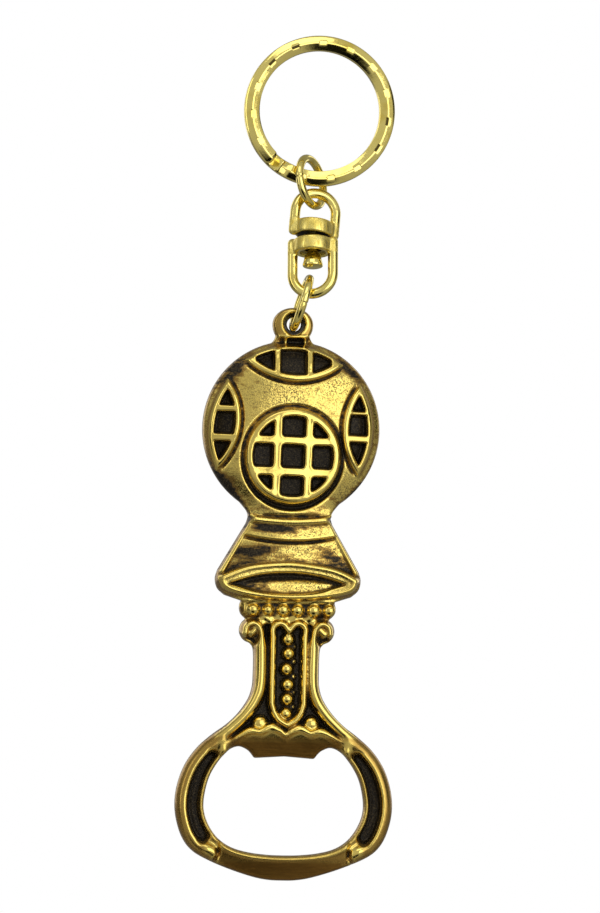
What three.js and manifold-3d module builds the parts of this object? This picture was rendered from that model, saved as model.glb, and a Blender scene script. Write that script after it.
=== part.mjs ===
// Keychain bottle opener: a cast opener in the form of a diving helmet, hung by a two-part swivel
// and two jump rings from a split ring. Millimetres, +Z up, the relief faces -Y. The origin is the
// hang point, the top of the split ring's inner edge.
import * as THREE from 'three';
import { mergeVertices } from 'three/addons/utils/BufferGeometryUtils.js';
import Module from 'manifold-3d';

const wasm = await Module();
wasm.setup();

// ---------------------------------------------------------------------------------------------
// Driving dimensions
// ---------------------------------------------------------------------------------------------

const splitRing = {
  outerRadius: 15.1,
  wireWidth: 3.0, // radial
  wireThickness: 1.65, // along the ring's axis
  coilGap: 0.2,
  segments: 48, // per turn
  startAngle: 217.5, // degrees round from +X where the front coil starts
  jogSpan: 22.5, // the wire steps to the back coil over the last of its first turn
};
splitRing.innerRadius = splitRing.outerRadius - splitRing.wireWidth;
splitRing.centre = new THREE.Vector3(0, 0, -splitRing.innerRadius);

const jumpRingWire = 1.65; // diameter
const upperJumpRing = {
  radius: 4.85, // to the wire's centre line
  centre: new THREE.Vector3(-1.3, 0.4, -26.35),
  normal: new THREE.Vector3(0.82, -0.53, 0.2),
  cutAngle: 205,
};
const lowerJumpRing = {
  radius: 5.15,
  centre: new THREE.Vector3(-3.05, -2.1, -50.8),
  normal: new THREE.Vector3(0.956, 0, -0.292),
  cutAngle: 215,
};
const jumpRingCut = 0.3; // width of the open cut

const shackle = {
  barDiameter: 2.05,
  halfWidth: 4.1, // axis to bar centre
  drumRadius: 3.85,
  drumHeight: 2.85,
  boreRadius: 1.65,
  dishRadius: 2.6, // shallow recess round the bore on the window side
  dishDepth: 0.5,
};
const pitchSlope = Math.tan(THREE.MathUtils.degToRad(14)); // the swivel's foot comes forward
const upperShackle = {
  drumCentre: new THREE.Vector3(-0.75, -1.4, -35.9),
  up: new THREE.Vector3(Math.tan(THREE.MathUtils.degToRad(5.5)), pitchSlope, 1),
  turn: 5, // degrees about its own axis
  reach: 7.55, // drum centre to the crown's centre line
};
const lowerShackle = {
  drumCentre: new THREE.Vector3(-1.0, -2.26, -39.4),
  up: new THREE.Vector3(Math.tan(THREE.MathUtils.degToRad(0.5)), pitchSlope, 1),
  turn: -17,
  reach: 9.9,
};

const rivet = {
  shankRadius: 1.1,
  collarRadius: 1.7,
  headRadius: 2.05,
  collarHeight: 2.0,
  headHeight: 1.1,
  crownRadius: 2.1, // formed head in the upper drum's dish
  crownHeight: 0.55,
  endPlay: 0.3,
};

// The opener is drawn flat: x across it, y up along it with zero at the middle of the eye, z from
// its flat back towards the viewer.
const opener = {
  position: new THREE.Vector3(-4.45, 1.4, -55.1),
  plateThickness: 3.2,
  eyeThickness: 2.8,
  edgeRadius: 0.5,
  eyeRadius: 4.0,
  eyeHoleRadius: 2.05,
  eyeHoleY: 0.3,
};
const helmet = { centreY: -21, radius: 17.7, crown: 6.7 };
const frontPort = { centreY: -26.5, faceRadius: 9.45, grooveRadius: 10.3, top: 7.5 };
const grille = { barWidth: 1.55, barOffset: 3.1, rimWidth: 1.7, depth: 1.5 };
const column = { halfWidth: 6.6, topY: -64, bottomY: -72 };
const toothThickness = 2.6;
const bottomBarTop = 4.6;

// ---------------------------------------------------------------------------------------------
// Helpers
// ---------------------------------------------------------------------------------------------

// A closed three.js geometry as a manifold solid.
function solid(geometry) {
  const bare = geometry.clone();
  bare.deleteAttribute('normal');
  bare.deleteAttribute('uv');
  const merged = mergeVertices(bare, 1e-4);
  return new wasm.Manifold(new wasm.Mesh({
    numProp: 3,
    vertProperties: new Float32Array(merged.attributes.position.array),
    triVerts: new Uint32Array(merged.index.array),
  }));
}

// A manifold solid as a three.js geometry with flat facets.
function geometryOf(body) {
  const mesh = body.getMesh();
  const geometry = new THREE.BufferGeometry();
  geometry.setAttribute('position', new THREE.BufferAttribute(mesh.vertProperties, 3));
  geometry.setIndex(new THREE.BufferAttribute(mesh.triVerts, 1));
  geometry.computeVertexNormals();
  return geometry;
}

function union(bodies) {
  return bodies.reduce((sum, body) => sum.add(body));
}

// A flat shape raised from z = low to z = high, its top edge rounded off by `bevel`.
function slab(shape, low, high, bevel = 0, curveSegments = 8) {
  const settings = { depth: high - low - bevel, bevelEnabled: false, curveSegments };
  if (bevel > 0) {
    Object.assign(settings, {
      bevelEnabled: true, bevelThickness: bevel, bevelSize: bevel, bevelOffset: -bevel, bevelSegments: 1,
    });
    settings.depth = high - low - 2 * bevel;
  }
  const geometry = new THREE.ExtrudeGeometry(shape, settings);
  geometry.translate(0, 0, low + bevel);
  return solid(geometry);
}

function circle(radius, x = 0, y = 0) {
  return new THREE.Shape().absarc(x, y, radius, 0, 2 * Math.PI, false);
}

function polygon(points) {
  return new THREE.Shape(points.map(([x, y]) => new THREE.Vector2(x, y)));
}

// The points of a smooth curve through a few places, its ends included.
function through(points, divisions) {
  return new THREE.SplineCurve(points.map(([x, y]) => new THREE.Vector2(x, y)))
    .getPoints(divisions).map((p) => [p.x, p.y]);
}

// Points of a right-hand half outline, then the same mirrored back up the left.
function mirrored(half) {
  const left = half.filter(([x]) => x > 1e-6).map(([x, y]) => [-x, y]).reverse();
  return [...half, ...left];
}

function regularSection(radius, sides) {
  const points = [];
  for (let i = 0; i < sides; i += 1) {
    const angle = (2 * Math.PI * (i + 0.5)) / sides;
    points.push([radius * Math.cos(angle), radius * Math.sin(angle)]);
  }
  return polygon(points);
}

// A section carried along a curve. A curve that knows its own frames keeps the section upright.
function sweep(section, curve, steps) {
  return new THREE.ExtrudeGeometry(section, { steps, extrudePath: curve, bevelEnabled: false });
}

function sweepThrough(points, radius, steps, sides = 6) {
  const curve = new THREE.CatmullRomCurve3(points.map(([x, y, z]) => new THREE.Vector3(x, y, z)));
  return solid(sweep(regularSection(radius, sides), curve, steps));
}

// A half-round bead: a ball flattened towards the plate it sits on.
function bead(x, y, z, radius, height) {
  const ball = new THREE.SphereGeometry(radius, 8, 6);
  ball.rotateX(Math.PI / 2);
  ball.scale(1, 1, height / radius);
  ball.translate(x, y, z);
  return solid(ball);
}

function named(name, geometry, color, roughness) {
  const material = new THREE.MeshStandardMaterial({ color, roughness, metalness: 1 });
  const mesh = new THREE.Mesh(geometry, material);
  mesh.name = name;
  return mesh;
}

const goldPlate = 0xcdb347;
const agedBrass = 0x9c7a32;

// ---------------------------------------------------------------------------------------------
// Split ring: two turns of flat wire that step from one plane to the other
// ---------------------------------------------------------------------------------------------

class TwoTurnCurve extends THREE.Curve {
  getPoint(t, target = new THREE.Vector3()) {
    const turned = t * 720;
    const angle = THREE.MathUtils.degToRad(splitRing.startAngle + turned);
    const radius = splitRing.outerRadius - splitRing.wireWidth / 2;
    const halfPitch = (splitRing.wireThickness + splitRing.coilGap) / 2;
    const jog = THREE.MathUtils.clamp((turned - (360 - splitRing.jogSpan)) / splitRing.jogSpan, 0, 1);
    const eased = THREE.MathUtils.smoothstep(jog, 0, 1);
    const y = halfPitch * (2 * eased - 1);
    return target.set(radius * Math.cos(angle), y, radius * Math.sin(angle));
  }

  // Equal steps of angle, so that both coils share their facets.
  getPointAt(u, target) {
    return this.getPoint(u, target);
  }

  // The section's first axis points outwards from the ring's centre, its second along the axis.
  computeFrenetFrames(steps) {
    const frames = { tangents: [], normals: [], binormals: [] };
    for (let i = 0; i <= steps; i += 1) {
      const place = this.getPointAt(i / steps);
      const normal = new THREE.Vector3(place.x, 0, place.z).normalize();
      const tangent = this.getTangentAt(i / steps);
      frames.tangents.push(tangent);
      frames.normals.push(normal);
      frames.binormals.push(new THREE.Vector3().crossVectors(tangent, normal).normalize());
    }
    return frames;
  }
}

// The wire is a flattened octagon, so a shallow groove runs between the coils.
function splitRingMesh() {
  const halfWidth = splitRing.wireWidth / 2;
  const halfThickness = splitRing.wireThickness / 2;
  const flatWidth = 0.5 * halfWidth;
  const edgeHeight = 0.36 * halfThickness;
  const section = polygon([
    [halfWidth, -edgeHeight], [halfWidth, edgeHeight], [flatWidth, halfThickness],
    [-flatWidth, halfThickness], [-halfWidth, edgeHeight], [-halfWidth, -edgeHeight],
    [-flatWidth, -halfThickness], [flatWidth, -halfThickness],
  ]);
  const geometry = sweep(section, new TwoTurnCurve(), 2 * splitRing.segments);
  const mesh = named('split_ring', geometry, goldPlate, 0.2);
  mesh.position.copy(splitRing.centre);
  return mesh;
}

// ---------------------------------------------------------------------------------------------
// Jump rings: round wire bent to a circle with a narrow cut
// ---------------------------------------------------------------------------------------------

class OpenRingCurve extends THREE.Curve {
  constructor(radius, cutAngle) {
    super();
    this.radius = radius;
    this.start = THREE.MathUtils.degToRad(cutAngle) + jumpRingCut / radius / 2;
    this.span = 2 * Math.PI - jumpRingCut / radius;
  }

  getPoint(t, target = new THREE.Vector3()) {
    const angle = this.start + t * this.span;
    return target.set(this.radius * Math.cos(angle), this.radius * Math.sin(angle), 0);
  }
}

function jumpRingMesh(name, ring) {
  const curve = new OpenRingCurve(ring.radius, ring.cutAngle);
  const geometry = sweep(regularSection(jumpRingWire / 2, 10), curve, 36);
  const mesh = named(name, geometry, goldPlate, 0.22);
  const normal = ring.normal.clone().normalize();
  const up = new THREE.Vector3(0, 0, 1).addScaledVector(normal, -normal.z).normalize();
  const across = new THREE.Vector3().crossVectors(up, normal);
  mesh.setRotationFromMatrix(new THREE.Matrix4().makeBasis(across, up, normal));
  mesh.position.copy(ring.centre);
  return mesh;
}

// ---------------------------------------------------------------------------------------------
// Swivel: two shackles whose drums meet on a rivet
// ---------------------------------------------------------------------------------------------

// The U of round bar, from one foot up over the crown and down to the other, in the XZ plane.
function shackleBar(reach) {
  const straight = reach - shackle.halfWidth;
  const path = new THREE.CurvePath();
  const foot = -shackle.drumHeight / 2;
  const left = -shackle.halfWidth;
  const right = shackle.halfWidth;
  const points = [new THREE.Vector3(left, 0, foot)];
  const crownSteps = 16;
  for (let i = 0; i <= crownSteps; i += 1) {
    const angle = Math.PI - (Math.PI * i) / crownSteps;
    points.push(new THREE.Vector3(right * Math.cos(angle), 0, straight + right * Math.sin(angle)));
  }
  points.push(new THREE.Vector3(right, 0, foot));
  for (let i = 0; i + 1 < points.length; i += 1) {
    path.add(new THREE.LineCurve3(points[i], points[i + 1]));
  }
  return solid(sweep(regularSection(shackle.barDiameter / 2, 10), path, 48));
}

function shackleSolid(reach) {
  const { drumRadius, drumHeight, boreRadius, dishRadius, dishDepth } = shackle;
  const dishFloor = drumHeight / 2 - dishDepth;
  const drum = new THREE.LatheGeometry([
    new THREE.Vector2(boreRadius, -drumHeight / 2),
    new THREE.Vector2(drumRadius - 0.2, -drumHeight / 2),
    new THREE.Vector2(drumRadius, -drumHeight / 2 + 0.2),
    new THREE.Vector2(drumRadius, drumHeight / 2 - 0.3),
    new THREE.Vector2(drumRadius - 0.3, drumHeight / 2),
    new THREE.Vector2(dishRadius, drumHeight / 2),
    new THREE.Vector2(dishRadius, dishFloor),
    new THREE.Vector2(boreRadius, dishFloor),
    new THREE.Vector2(boreRadius, -drumHeight / 2),
  ], 32);
  drum.rotateX(Math.PI / 2);
  const bore = new THREE.CylinderGeometry(boreRadius, boreRadius, 3 * drumHeight, 32);
  bore.rotateX(Math.PI / 2);
  return shackleBar(reach).subtract(solid(bore)).add(solid(drum));
}

// Turns a piece about its own axis, then leans that axis along `up`. `flip` hangs it upside down.
function orientation(up, turnDegrees, flip) {
  const axis = up.clone().normalize();
  const lean = new THREE.Quaternion().setFromUnitVectors(new THREE.Vector3(0, 0, 1), axis);
  const turn = new THREE.Quaternion()
    .setFromAxisAngle(new THREE.Vector3(0, 0, 1), THREE.MathUtils.degToRad(turnDegrees));
  const over = new THREE.Quaternion()
    .setFromAxisAngle(new THREE.Vector3(0, 1, 0), flip ? Math.PI : 0);
  return lean.multiply(turn).multiply(over);
}

function shackleMesh(name, part, flip) {
  const mesh = named(name, geometryOf(shackleSolid(part.reach)), goldPlate, 0.24);
  mesh.quaternion.copy(orientation(part.up, part.turn, flip));
  mesh.position.copy(part.drumCentre);
  return mesh;
}

// The rivet is turned about the lower drum's axis, z measured from that drum's centre.
function rivetMesh() {
  const bearingFace = shackle.drumHeight / 2 - shackle.dishDepth;
  const lowerFace = -bearingFace - rivet.endPlay;
  const collarEnd = lowerFace - rivet.collarHeight;
  const headEnd = collarEnd - rivet.headHeight;
  const drumSpacing = upperShackle.drumCentre.distanceTo(lowerShackle.drumCentre);
  const upperFace = drumSpacing + bearingFace + rivet.endPlay;
  const crownEnd = upperFace + rivet.crownHeight;
  const geometry = new THREE.LatheGeometry([
    new THREE.Vector2(0, headEnd),
    new THREE.Vector2(rivet.headRadius - 0.45, headEnd),
    new THREE.Vector2(rivet.headRadius, headEnd + 0.3),
    new THREE.Vector2(rivet.headRadius, collarEnd - 0.2),
    new THREE.Vector2(rivet.collarRadius, collarEnd),
    new THREE.Vector2(rivet.collarRadius, lowerFace),
    new THREE.Vector2(rivet.shankRadius, lowerFace),
    new THREE.Vector2(rivet.shankRadius, upperFace),
    new THREE.Vector2(rivet.crownRadius, upperFace),
    new THREE.Vector2(rivet.crownRadius - 0.35, crownEnd),
    new THREE.Vector2(0, crownEnd),
  ], 24);
  geometry.rotateX(Math.PI / 2);
  const mesh = named('swivel_rivet', geometry, goldPlate, 0.25);
  mesh.quaternion.copy(orientation(lowerShackle.up, 0, false));
  mesh.position.copy(lowerShackle.drumCentre);
  return mesh;
}

// ---------------------------------------------------------------------------------------------
// Opener body, drawn flat: one casting with the relief on its +z side
// ---------------------------------------------------------------------------------------------

function helmetArc(fromX, toX, toBelow, steps) {
  const start = Math.acos(fromX / helmet.radius);
  const end = toBelow ? -Math.acos(toX / helmet.radius) : Math.acos(toX / helmet.radius);
  const points = [];
  for (let i = 0; i <= steps; i += 1) {
    const angle = start + ((end - start) * i) / steps;
    points.push([helmet.radius * Math.cos(angle), helmet.centreY + helmet.radius * Math.sin(angle)]);
  }
  return points;
}

function bodyOutline() {
  const voluteCentre = [7.0, -61.2];
  const voluteRadius = 2.5;
  const voluteArc = [50, 20, -10, -40, -62].map((degrees) => {
    const angle = THREE.MathUtils.degToRad(degrees);
    return [
      voluteCentre[0] + voluteRadius * Math.cos(angle),
      voluteCentre[1] + voluteRadius * Math.sin(angle),
    ];
  });
  const half = [
    [0, -3.4],
    ...helmetArc(4.4, 10, true, 18),
    ...through([[9.3, -36.5], [8.45, -37.8], [8.3, -38.8], [8.7, -40]], 4),
    ...through([[14.1, -49.4], [14.55, -51], [14.1, -52.9], [12.8, -54.1]], 5),
    [9.8, -55.3], [9.9, -57.4], [8.7, -58.9],
    ...voluteArc,
    [column.halfWidth, column.topY], [column.halfWidth, column.bottomY],
    ...through([[7.5, -75], [9.35, -77.7], [11.7, -80.1], [14.6, -82.2]], 5),
    ...through([
      [17.6, -85.3], [19.9, -88.5], [21.2, -92], [21.7, -95.7], [21.3, -99.3], [20, -102.9],
      [18, -105.2], [14.4, -107.3], [9.9, -109.1], [5.1, -110.5], [0, -111],
    ], 20),
  ];
  return polygon(mirrored(half));
}

// The crown cap goes here: the tooth's edge on top, the bottom bar below.
function capOpening() {
  return mirrored([
    [0, -86.2], [5.7, -86.55], [6.3, -86.2],
    ...through([[7.35, -85.1], [9.4, -84.35], [11.4, -85.3], [13.6, -87.8]], 6),
    ...through([
      [15.2, -91], [16.05, -95], [15.85, -98], [14.65, -100.8], [12.8, -103.1], [10.2, -104.6],
      [6.8, -105.6], [0, -106.1],
    ], 14),
  ]);
}

// The band between two outlines, as a ring-shaped prism.
function frame(outer, inner, low, high) {
  return slab(outer, low, high, 0.3).subtract(slab(inner, low - 1, high + 1));
}

function eyeSolid() {
  const rim = slab(circle(opener.eyeRadius), 0, opener.eyeThickness, opener.edgeRadius, 12);
  const neck = slab(polygon([[-4.9, -5], [-3.3, -2.4], [-3, 0], [3, 0], [3.3, -2.4], [4.9, -5]]),
    0, opener.eyeThickness);
  const hole = slab(circle(opener.eyeHoleRadius, 0, opener.eyeHoleY), -1, 4, 0, 12);
  return rim.add(neck).subtract(hole);
}

// The dome of the helmet: flat underneath, quarter-round at the edge, shallow over the crown.
function helmetDome() {
  const edge = helmet.radius - 0.3;
  const dome = new THREE.LatheGeometry([
    new THREE.Vector2(0, 1), new THREE.Vector2(edge, 1), new THREE.Vector2(edge, 2.4),
    new THREE.Vector2(edge - 0.9, 3.8), new THREE.Vector2(edge - 2.6, 4.9),
    new THREE.Vector2(edge - 5.5, 5.8), new THREE.Vector2(edge - 9.5, 6.4),
    new THREE.Vector2(0, helmet.crown),
  ], 36);
  dome.rotateX(Math.PI / 2);
  dome.translate(0, helmet.centreY, 0);
  return solid(dome);
}

// The nine cells of the front port's grille, cut by its inner circle where they reach it.
function grilleCells() {
  const { centreY, faceRadius, top } = frontPort;
  const radius = faceRadius - grille.rimWidth;
  const near = grille.barOffset - grille.barWidth / 2;
  const start = grille.barOffset + grille.barWidth / 2;
  const spans = [[-radius, -start], [-near, near], [start, radius]];
  const cells = [];
  for (const [x0, x1] of spans) {
    for (const [y0, y1] of spans) {
      cells.push(slab(polygon([
        [x0, centreY + y0], [x1, centreY + y0], [x1, centreY + y1], [x0, centreY + y1],
      ]), top - grille.depth, top + 1));
    }
  }
  return union(cells).intersect(slab(circle(radius, 0, centreY), 0, 20, 0, 16));
}

function frontPortFace() {
  return slab(circle(frontPort.faceRadius, 0, frontPort.centreY), 3, frontPort.top, 0.5, 16);
}

// The moat round the front port's face.
function frontPortGroove() {
  const { centreY, faceRadius, grooveRadius, top } = frontPort;
  return slab(circle(grooveRadius, 0, centreY), top - 2.4, top + 2, 0, 16)
    .subtract(slab(circle(faceRadius - 0.05, 0, centreY), 0, top + 3, 0, 16));
}

// A port at the helmet's edge: a curved groove marks it off, and a row of cells is sunk into it.
function edgePortCuts() {
  const cellDepth = 3.2;
  const side = (sign) => [
    sweepThrough([
      [sign * 13.2, -10.9, 5.2], [sign * 10.6, -15.5, 6], [sign * 9.8, -20.3, 6.3],
      [sign * 10.9, -25, 6], [sign * 13.7, -29.8, 5],
    ], 0.55, 10),
    slab(polygon([[sign * 11.3, -16.6], [sign * 14.9, -16.8], [sign * 11.4, -13.1]]), cellDepth, 9),
    slab(polygon([
      [sign * 11.2, -18], [sign * 15, -18], [sign * 15.2, -22.1], [sign * 11.2, -22.1],
    ]), cellDepth, 9),
    slab(polygon([[sign * 11.9, -23.4], [sign * 15.3, -23.4], [sign * 11.9, -27.4]]), cellDepth, 9),
  ];
  const top = [
    sweepThrough([
      [-10, -7.3, 5], [-5.4, -10.3, 6], [0, -11.3, 6.2], [5.4, -10.3, 6], [10, -7.3, 5],
    ], 0.55, 10),
    slab(polygon([[-7.2, -6], [-3.6, -5.6], [-3.6, -9.4]]), cellDepth, 9),
    slab(polygon([[-2.5, -5.2], [2.5, -5.2], [2.5, -9.9], [-2.5, -9.9]]), cellDepth, 9),
    slab(polygon([[7.2, -6], [3.6, -9.4], [3.6, -5.6]]), cellDepth, 9),
  ];
  return union([...side(1), ...side(-1), ...top]);
}

// The helmet's neck: a ribbed collar flaring to a breastplate with a lens-shaped moulding.
function collarSolid() {
  const flare = slab(polygon(mirrored([
    [0, -37], [7.6, -37], [8, -39.6], [13.6, -49.6], [13.9, -51.2], [13.4, -53], [0, -54.6],
  ])), 1, 4.6, 0.5);
  const upperRib = sweepThrough([[-8.2, -39.4, 4.2], [0, -40.2, 5.4], [8.2, -39.4, 4.2]], 1.1, 8);
  const lowerRib = sweepThrough([[-9.6, -41.9, 4], [0, -42.6, 5.1], [9.6, -41.9, 4]], 0.8, 8);
  const lensTop = sweepThrough([
    [-13.2, -51.2, 4.2], [-6.7, -49, 5], [0, -48.4, 5.3], [6.7, -49, 5], [13.2, -51.2, 4.2],
  ], 0.75, 12);
  const lensFoot = sweepThrough([
    [-13.2, -52.2, 4.2], [-6.7, -54, 5], [0, -54.5, 5.2], [6.7, -54, 5], [13.2, -52.2, 4.2],
  ], 0.75, 12);
  return union([flare, upperRib, lowerRib, lensTop, lensFoot]);
}

function beadRow() {
  const count = 6;
  const pitch = 3.1;
  const beads = [];
  for (let i = 0; i < count; i += 1) {
    beads.push(bead((i - (count - 1) / 2) * pitch, -56.9, 3.9, 1.2, 1.2));
  }
  return union([slab(polygon([
    [-9.4, -55.2], [9.4, -55.2], [9.4, -57.6], [8.3, -58.7], [-8.3, -58.7], [-9.4, -57.6],
  ]), 1, 4.1, 0.3), ...beads]);
}

// Two round pillars that end in volutes at the top and run out into the loop's rim below.
function pillars() {
  const makeOne = (sign) => [
    sweepThrough([
      [sign * 5.6, -62, 3.6], [sign * 5.6, -72, 3.6], [sign * 6.8, -75.6, 3.6],
      [sign * 9.6, -79.2, 3.6], [sign * 13.4, -82, 3.6], [sign * 16.4, -85.2, 3.6],
    ], 1.05, 14),
    slab(circle(2.3, sign * 7, -61.2), 1, 4.6, 0.4, 6),
    bead(sign * 7, -61.2, 4.6, 0.9, 0.7),
  ];
  return union([...makeOne(1), ...makeOne(-1)]);
}

// A raised frame with two lobes on top and a point below, holding a string of beads.
function cartouche() {
  const edge = (grow) => polygon(mirrored([
    [0, -61 + grow * 0.6], [1.0, -60 + grow], [2.1, -59.9 + grow],
    [3 + grow * 0.8, -60.9 + grow * 0.5], [3 + grow, -62.4], [3 + grow, -75.8],
    [2.3 + grow * 0.8, -77.8 - grow * 0.4], [0, -79.7 - grow],
  ]));
  const beads = [-63, -65.9, -68.8, -71.7, -74.6, -77.5].map((y) => bead(0, y, 3.4, 1.1, 1.1));
  const lowBeads = [-5.1, 5.1].map((x) => bead(x, -79.8, 3.4, 1.4, 1.1));
  return union([frame(edge(0.75), edge(-0.45), 2, 4.5), ...beads, ...lowBeads]);
}

// The brow between the column and the tooth.
function brow() {
  return sweepThrough([
    [-11.6, -83.9, 3.4], [-7, -81.3, 3.6], [-3.2, -80.7, 3.8], [0, -82.3, 3.9],
    [3.2, -80.7, 3.8], [7, -81.3, 3.6], [11.6, -83.9, 3.4],
  ], 0.75, 18);
}

// The loop's sides are sunk between an outer and an inner rim, and its foot is a plain bar.
function loopRelief() {
  const rimPath = (points, radius) => sweepThrough(points, radius, 14);
  const side = (sign) => [
    rimPath([
      [sign * 16.2, -85, 3.7], [sign * 19.2, -89, 3.7], [sign * 20.6, -94, 3.7],
      [sign * 20.3, -99.5, 3.7], [sign * 18.4, -103.6, 3.7], [sign * 14.6, -106.2, 3.7],
    ], 1.0),
    rimPath([
      [sign * 12.6, -84.3, 3.5], [sign * 15.5, -88.4, 3.5], [sign * 17, -94, 3.5],
      [sign * 16.6, -99, 3.5], [sign * 14.2, -103.4, 3.5], [sign * 13.2, -105.4, 3.5],
    ], 0.8),
  ];
  const bar = slab(polygon(mirrored([
    [0, -106.2], [7, -105.7], [12.6, -104.4], [14.6, -106.3], [9.8, -108.7], [5, -110], [0, -110.6],
  ])), 1, bottomBarTop, 0.6);
  return union([...side(1), ...side(-1), bar]);
}

// The tooth is thinner than the rest, so the plate in front of it is cut away.
function toothStep() {
  return slab(polygon(mirrored([
    [0, -83.2], [6.2, -82.6], [8.8, -84], [8.8, -88], [0, -88],
  ])), toothThickness, 12);
}

function openerMesh() {
  const plate = slab(bodyOutline(), 0, opener.plateThickness, opener.edgeRadius);
  const relief = union([
    helmetDome().subtract(frontPortGroove()).subtract(edgePortCuts()), frontPortFace(),
    collarSolid(), beadRow(), pillars(), cartouche(), brow(), loopRelief(),
  ]).subtract(grilleCells());
  const casting = plate.add(relief).add(eyeSolid())
    .subtract(slab(polygon(capOpening()), -1, 12))
    .subtract(toothStep());
  const mesh = named('opener_body', geometryOf(casting), agedBrass, 0.38);
  mesh.rotation.x = Math.PI / 2;
  mesh.position.copy(opener.position);
  return mesh;
}

const assembly = new THREE.Group();
assembly.name = 'keychain_bottle_opener';
assembly.add(
  splitRingMesh(),
  jumpRingMesh('upper_jump_ring', upperJumpRing),
  shackleMesh('swivel_upper_shackle', upperShackle, false),
  rivetMesh(),
  shackleMesh('swivel_lower_shackle', lowerShackle, true),
  jumpRingMesh('lower_jump_ring', lowerJumpRing),
  openerMesh(),
);

export default assembly;
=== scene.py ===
"""Looks of the keychain bottle opener: a diving-helmet casting in antique brass, hung from a
gold-plated split ring by a swivel. Shapes are worked out in millimetres and placed in metres."""
import itertools
import math

import bpy
import numpy as np
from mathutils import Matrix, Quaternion, Vector


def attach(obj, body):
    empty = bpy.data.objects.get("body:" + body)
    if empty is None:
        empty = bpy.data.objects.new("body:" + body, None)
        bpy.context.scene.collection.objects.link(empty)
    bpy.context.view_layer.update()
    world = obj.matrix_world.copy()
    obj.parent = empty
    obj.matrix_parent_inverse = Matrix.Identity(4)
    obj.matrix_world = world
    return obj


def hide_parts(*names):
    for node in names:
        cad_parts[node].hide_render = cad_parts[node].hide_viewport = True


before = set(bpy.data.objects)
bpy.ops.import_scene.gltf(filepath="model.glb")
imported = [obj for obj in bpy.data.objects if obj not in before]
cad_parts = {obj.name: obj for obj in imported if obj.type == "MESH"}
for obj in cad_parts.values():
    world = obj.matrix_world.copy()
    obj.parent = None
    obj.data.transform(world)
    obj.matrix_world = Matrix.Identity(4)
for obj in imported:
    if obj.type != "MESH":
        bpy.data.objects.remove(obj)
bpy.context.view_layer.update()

MM = 0.001

# Where the pieces sit, in millimetres, in the part's own frame (+Z up, viewer at -Y)
OPENER_ORIGIN = (-4.45, 1.4, -55.1)     # middle of the eye, on the casting's flat back
SPLIT_RING_CENTRE = (0.0, 0.0, -12.1)
FORWARD_LEAN = math.tan(math.radians(14))
UPPER_SHACKLE = {"centre": (-0.75, -1.4, -35.9), "reach": 7.55, "turn": 5,
                 "up": (math.tan(math.radians(5.5)), FORWARD_LEAN, 1), "flip": False}
LOWER_SHACKLE = {"centre": (-1.0, -2.26, -39.4), "reach": 9.9, "turn": -17,
                 "up": (math.tan(math.radians(0.5)), FORWARD_LEAN, 1), "flip": True}
UPPER_JUMP_RING = {"centre": (-1.3, 0.4, -26.35), "radius": 4.85, "cut": 170,
                   "normal": (0.82, -0.53, 0.2)}
LOWER_JUMP_RING = {"centre": (-3.05, -2.1, -50.8), "radius": 5.15, "cut": 181,
                   "normal": (0.956, 0, -0.292)}


# ---- Mesh making ----

def make_piece(name, points_mm, faces, material, body, replaces, sharp_degrees=None):
    """A smooth-shaded mesh object from points in millimetres, tied to its body and material slot."""
    mesh = bpy.data.meshes.new(name)
    points = np.asarray(points_mm, float) * MM
    mesh.from_pydata(points.tolist(), [], [list(face) for face in faces])
    mesh.polygons.foreach_set("use_smooth", [True] * len(mesh.polygons))
    if sharp_degrees is not None:
        mesh.set_sharp_from_angle(angle=math.radians(sharp_degrees))
    mesh.materials.append(material)
    mesh.update()
    piece = bpy.data.objects.new(name, mesh)
    bpy.context.scene.collection.objects.link(piece)
    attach(piece, body)
    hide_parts(replaces)
    return piece


def outward(points, faces):
    """The same faces, turned over if they enclose a negative volume."""
    points = np.asarray(points)
    fans = np.array([(face[0], face[k], face[k + 1]) for face in faces for k in range(1, len(face) - 1)])
    a, b, c = points[fans[:, 0]], points[fans[:, 1]], points[fans[:, 2]]
    volume = np.sum(a * np.cross(b, c))
    return faces if volume > 0 else [face[::-1] for face in faces]


def loft(rings):
    """Quads between successive rings of points, with a face over each end."""
    rings = np.asarray(rings, float)
    count, sides = rings.shape[:2]
    last = (count - 1) * sides
    faces = []
    for start in range(0, last, sides):
        for j in range(sides):
            k = (j + 1) % sides
            faces.append((start + j, start + k, start + sides + k, start + sides + j))
    faces.append(tuple(range(sides))[::-1])
    faces.append(tuple(range(last, last + sides)))
    points = rings.reshape(-1, 3)
    return points, outward(points, faces)


def revolve(profile, sides=64):
    """A closed profile of (radius, z) points turned round Z; a radius of 0 makes a single point."""
    points, rows = [], []
    for radius, z in profile:
        if radius == 0:
            rows.append([len(points)] * sides)
            points.append((0, 0, z))
            continue
        rows.append([len(points) + j for j in range(sides)])
        for j in range(sides):
            angle = 2 * math.pi * j / sides
            points.append((radius * math.cos(angle), radius * math.sin(angle), z))
    faces = []
    for low, high in zip(rows, rows[1:]):
        for j in range(sides):
            k = (j + 1) % sides
            face = tuple(dict.fromkeys((low[j], low[k], high[k], high[j])))
            if len(face) > 2:
                faces.append(face)
    return np.array(points), outward(points, faces)


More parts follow.
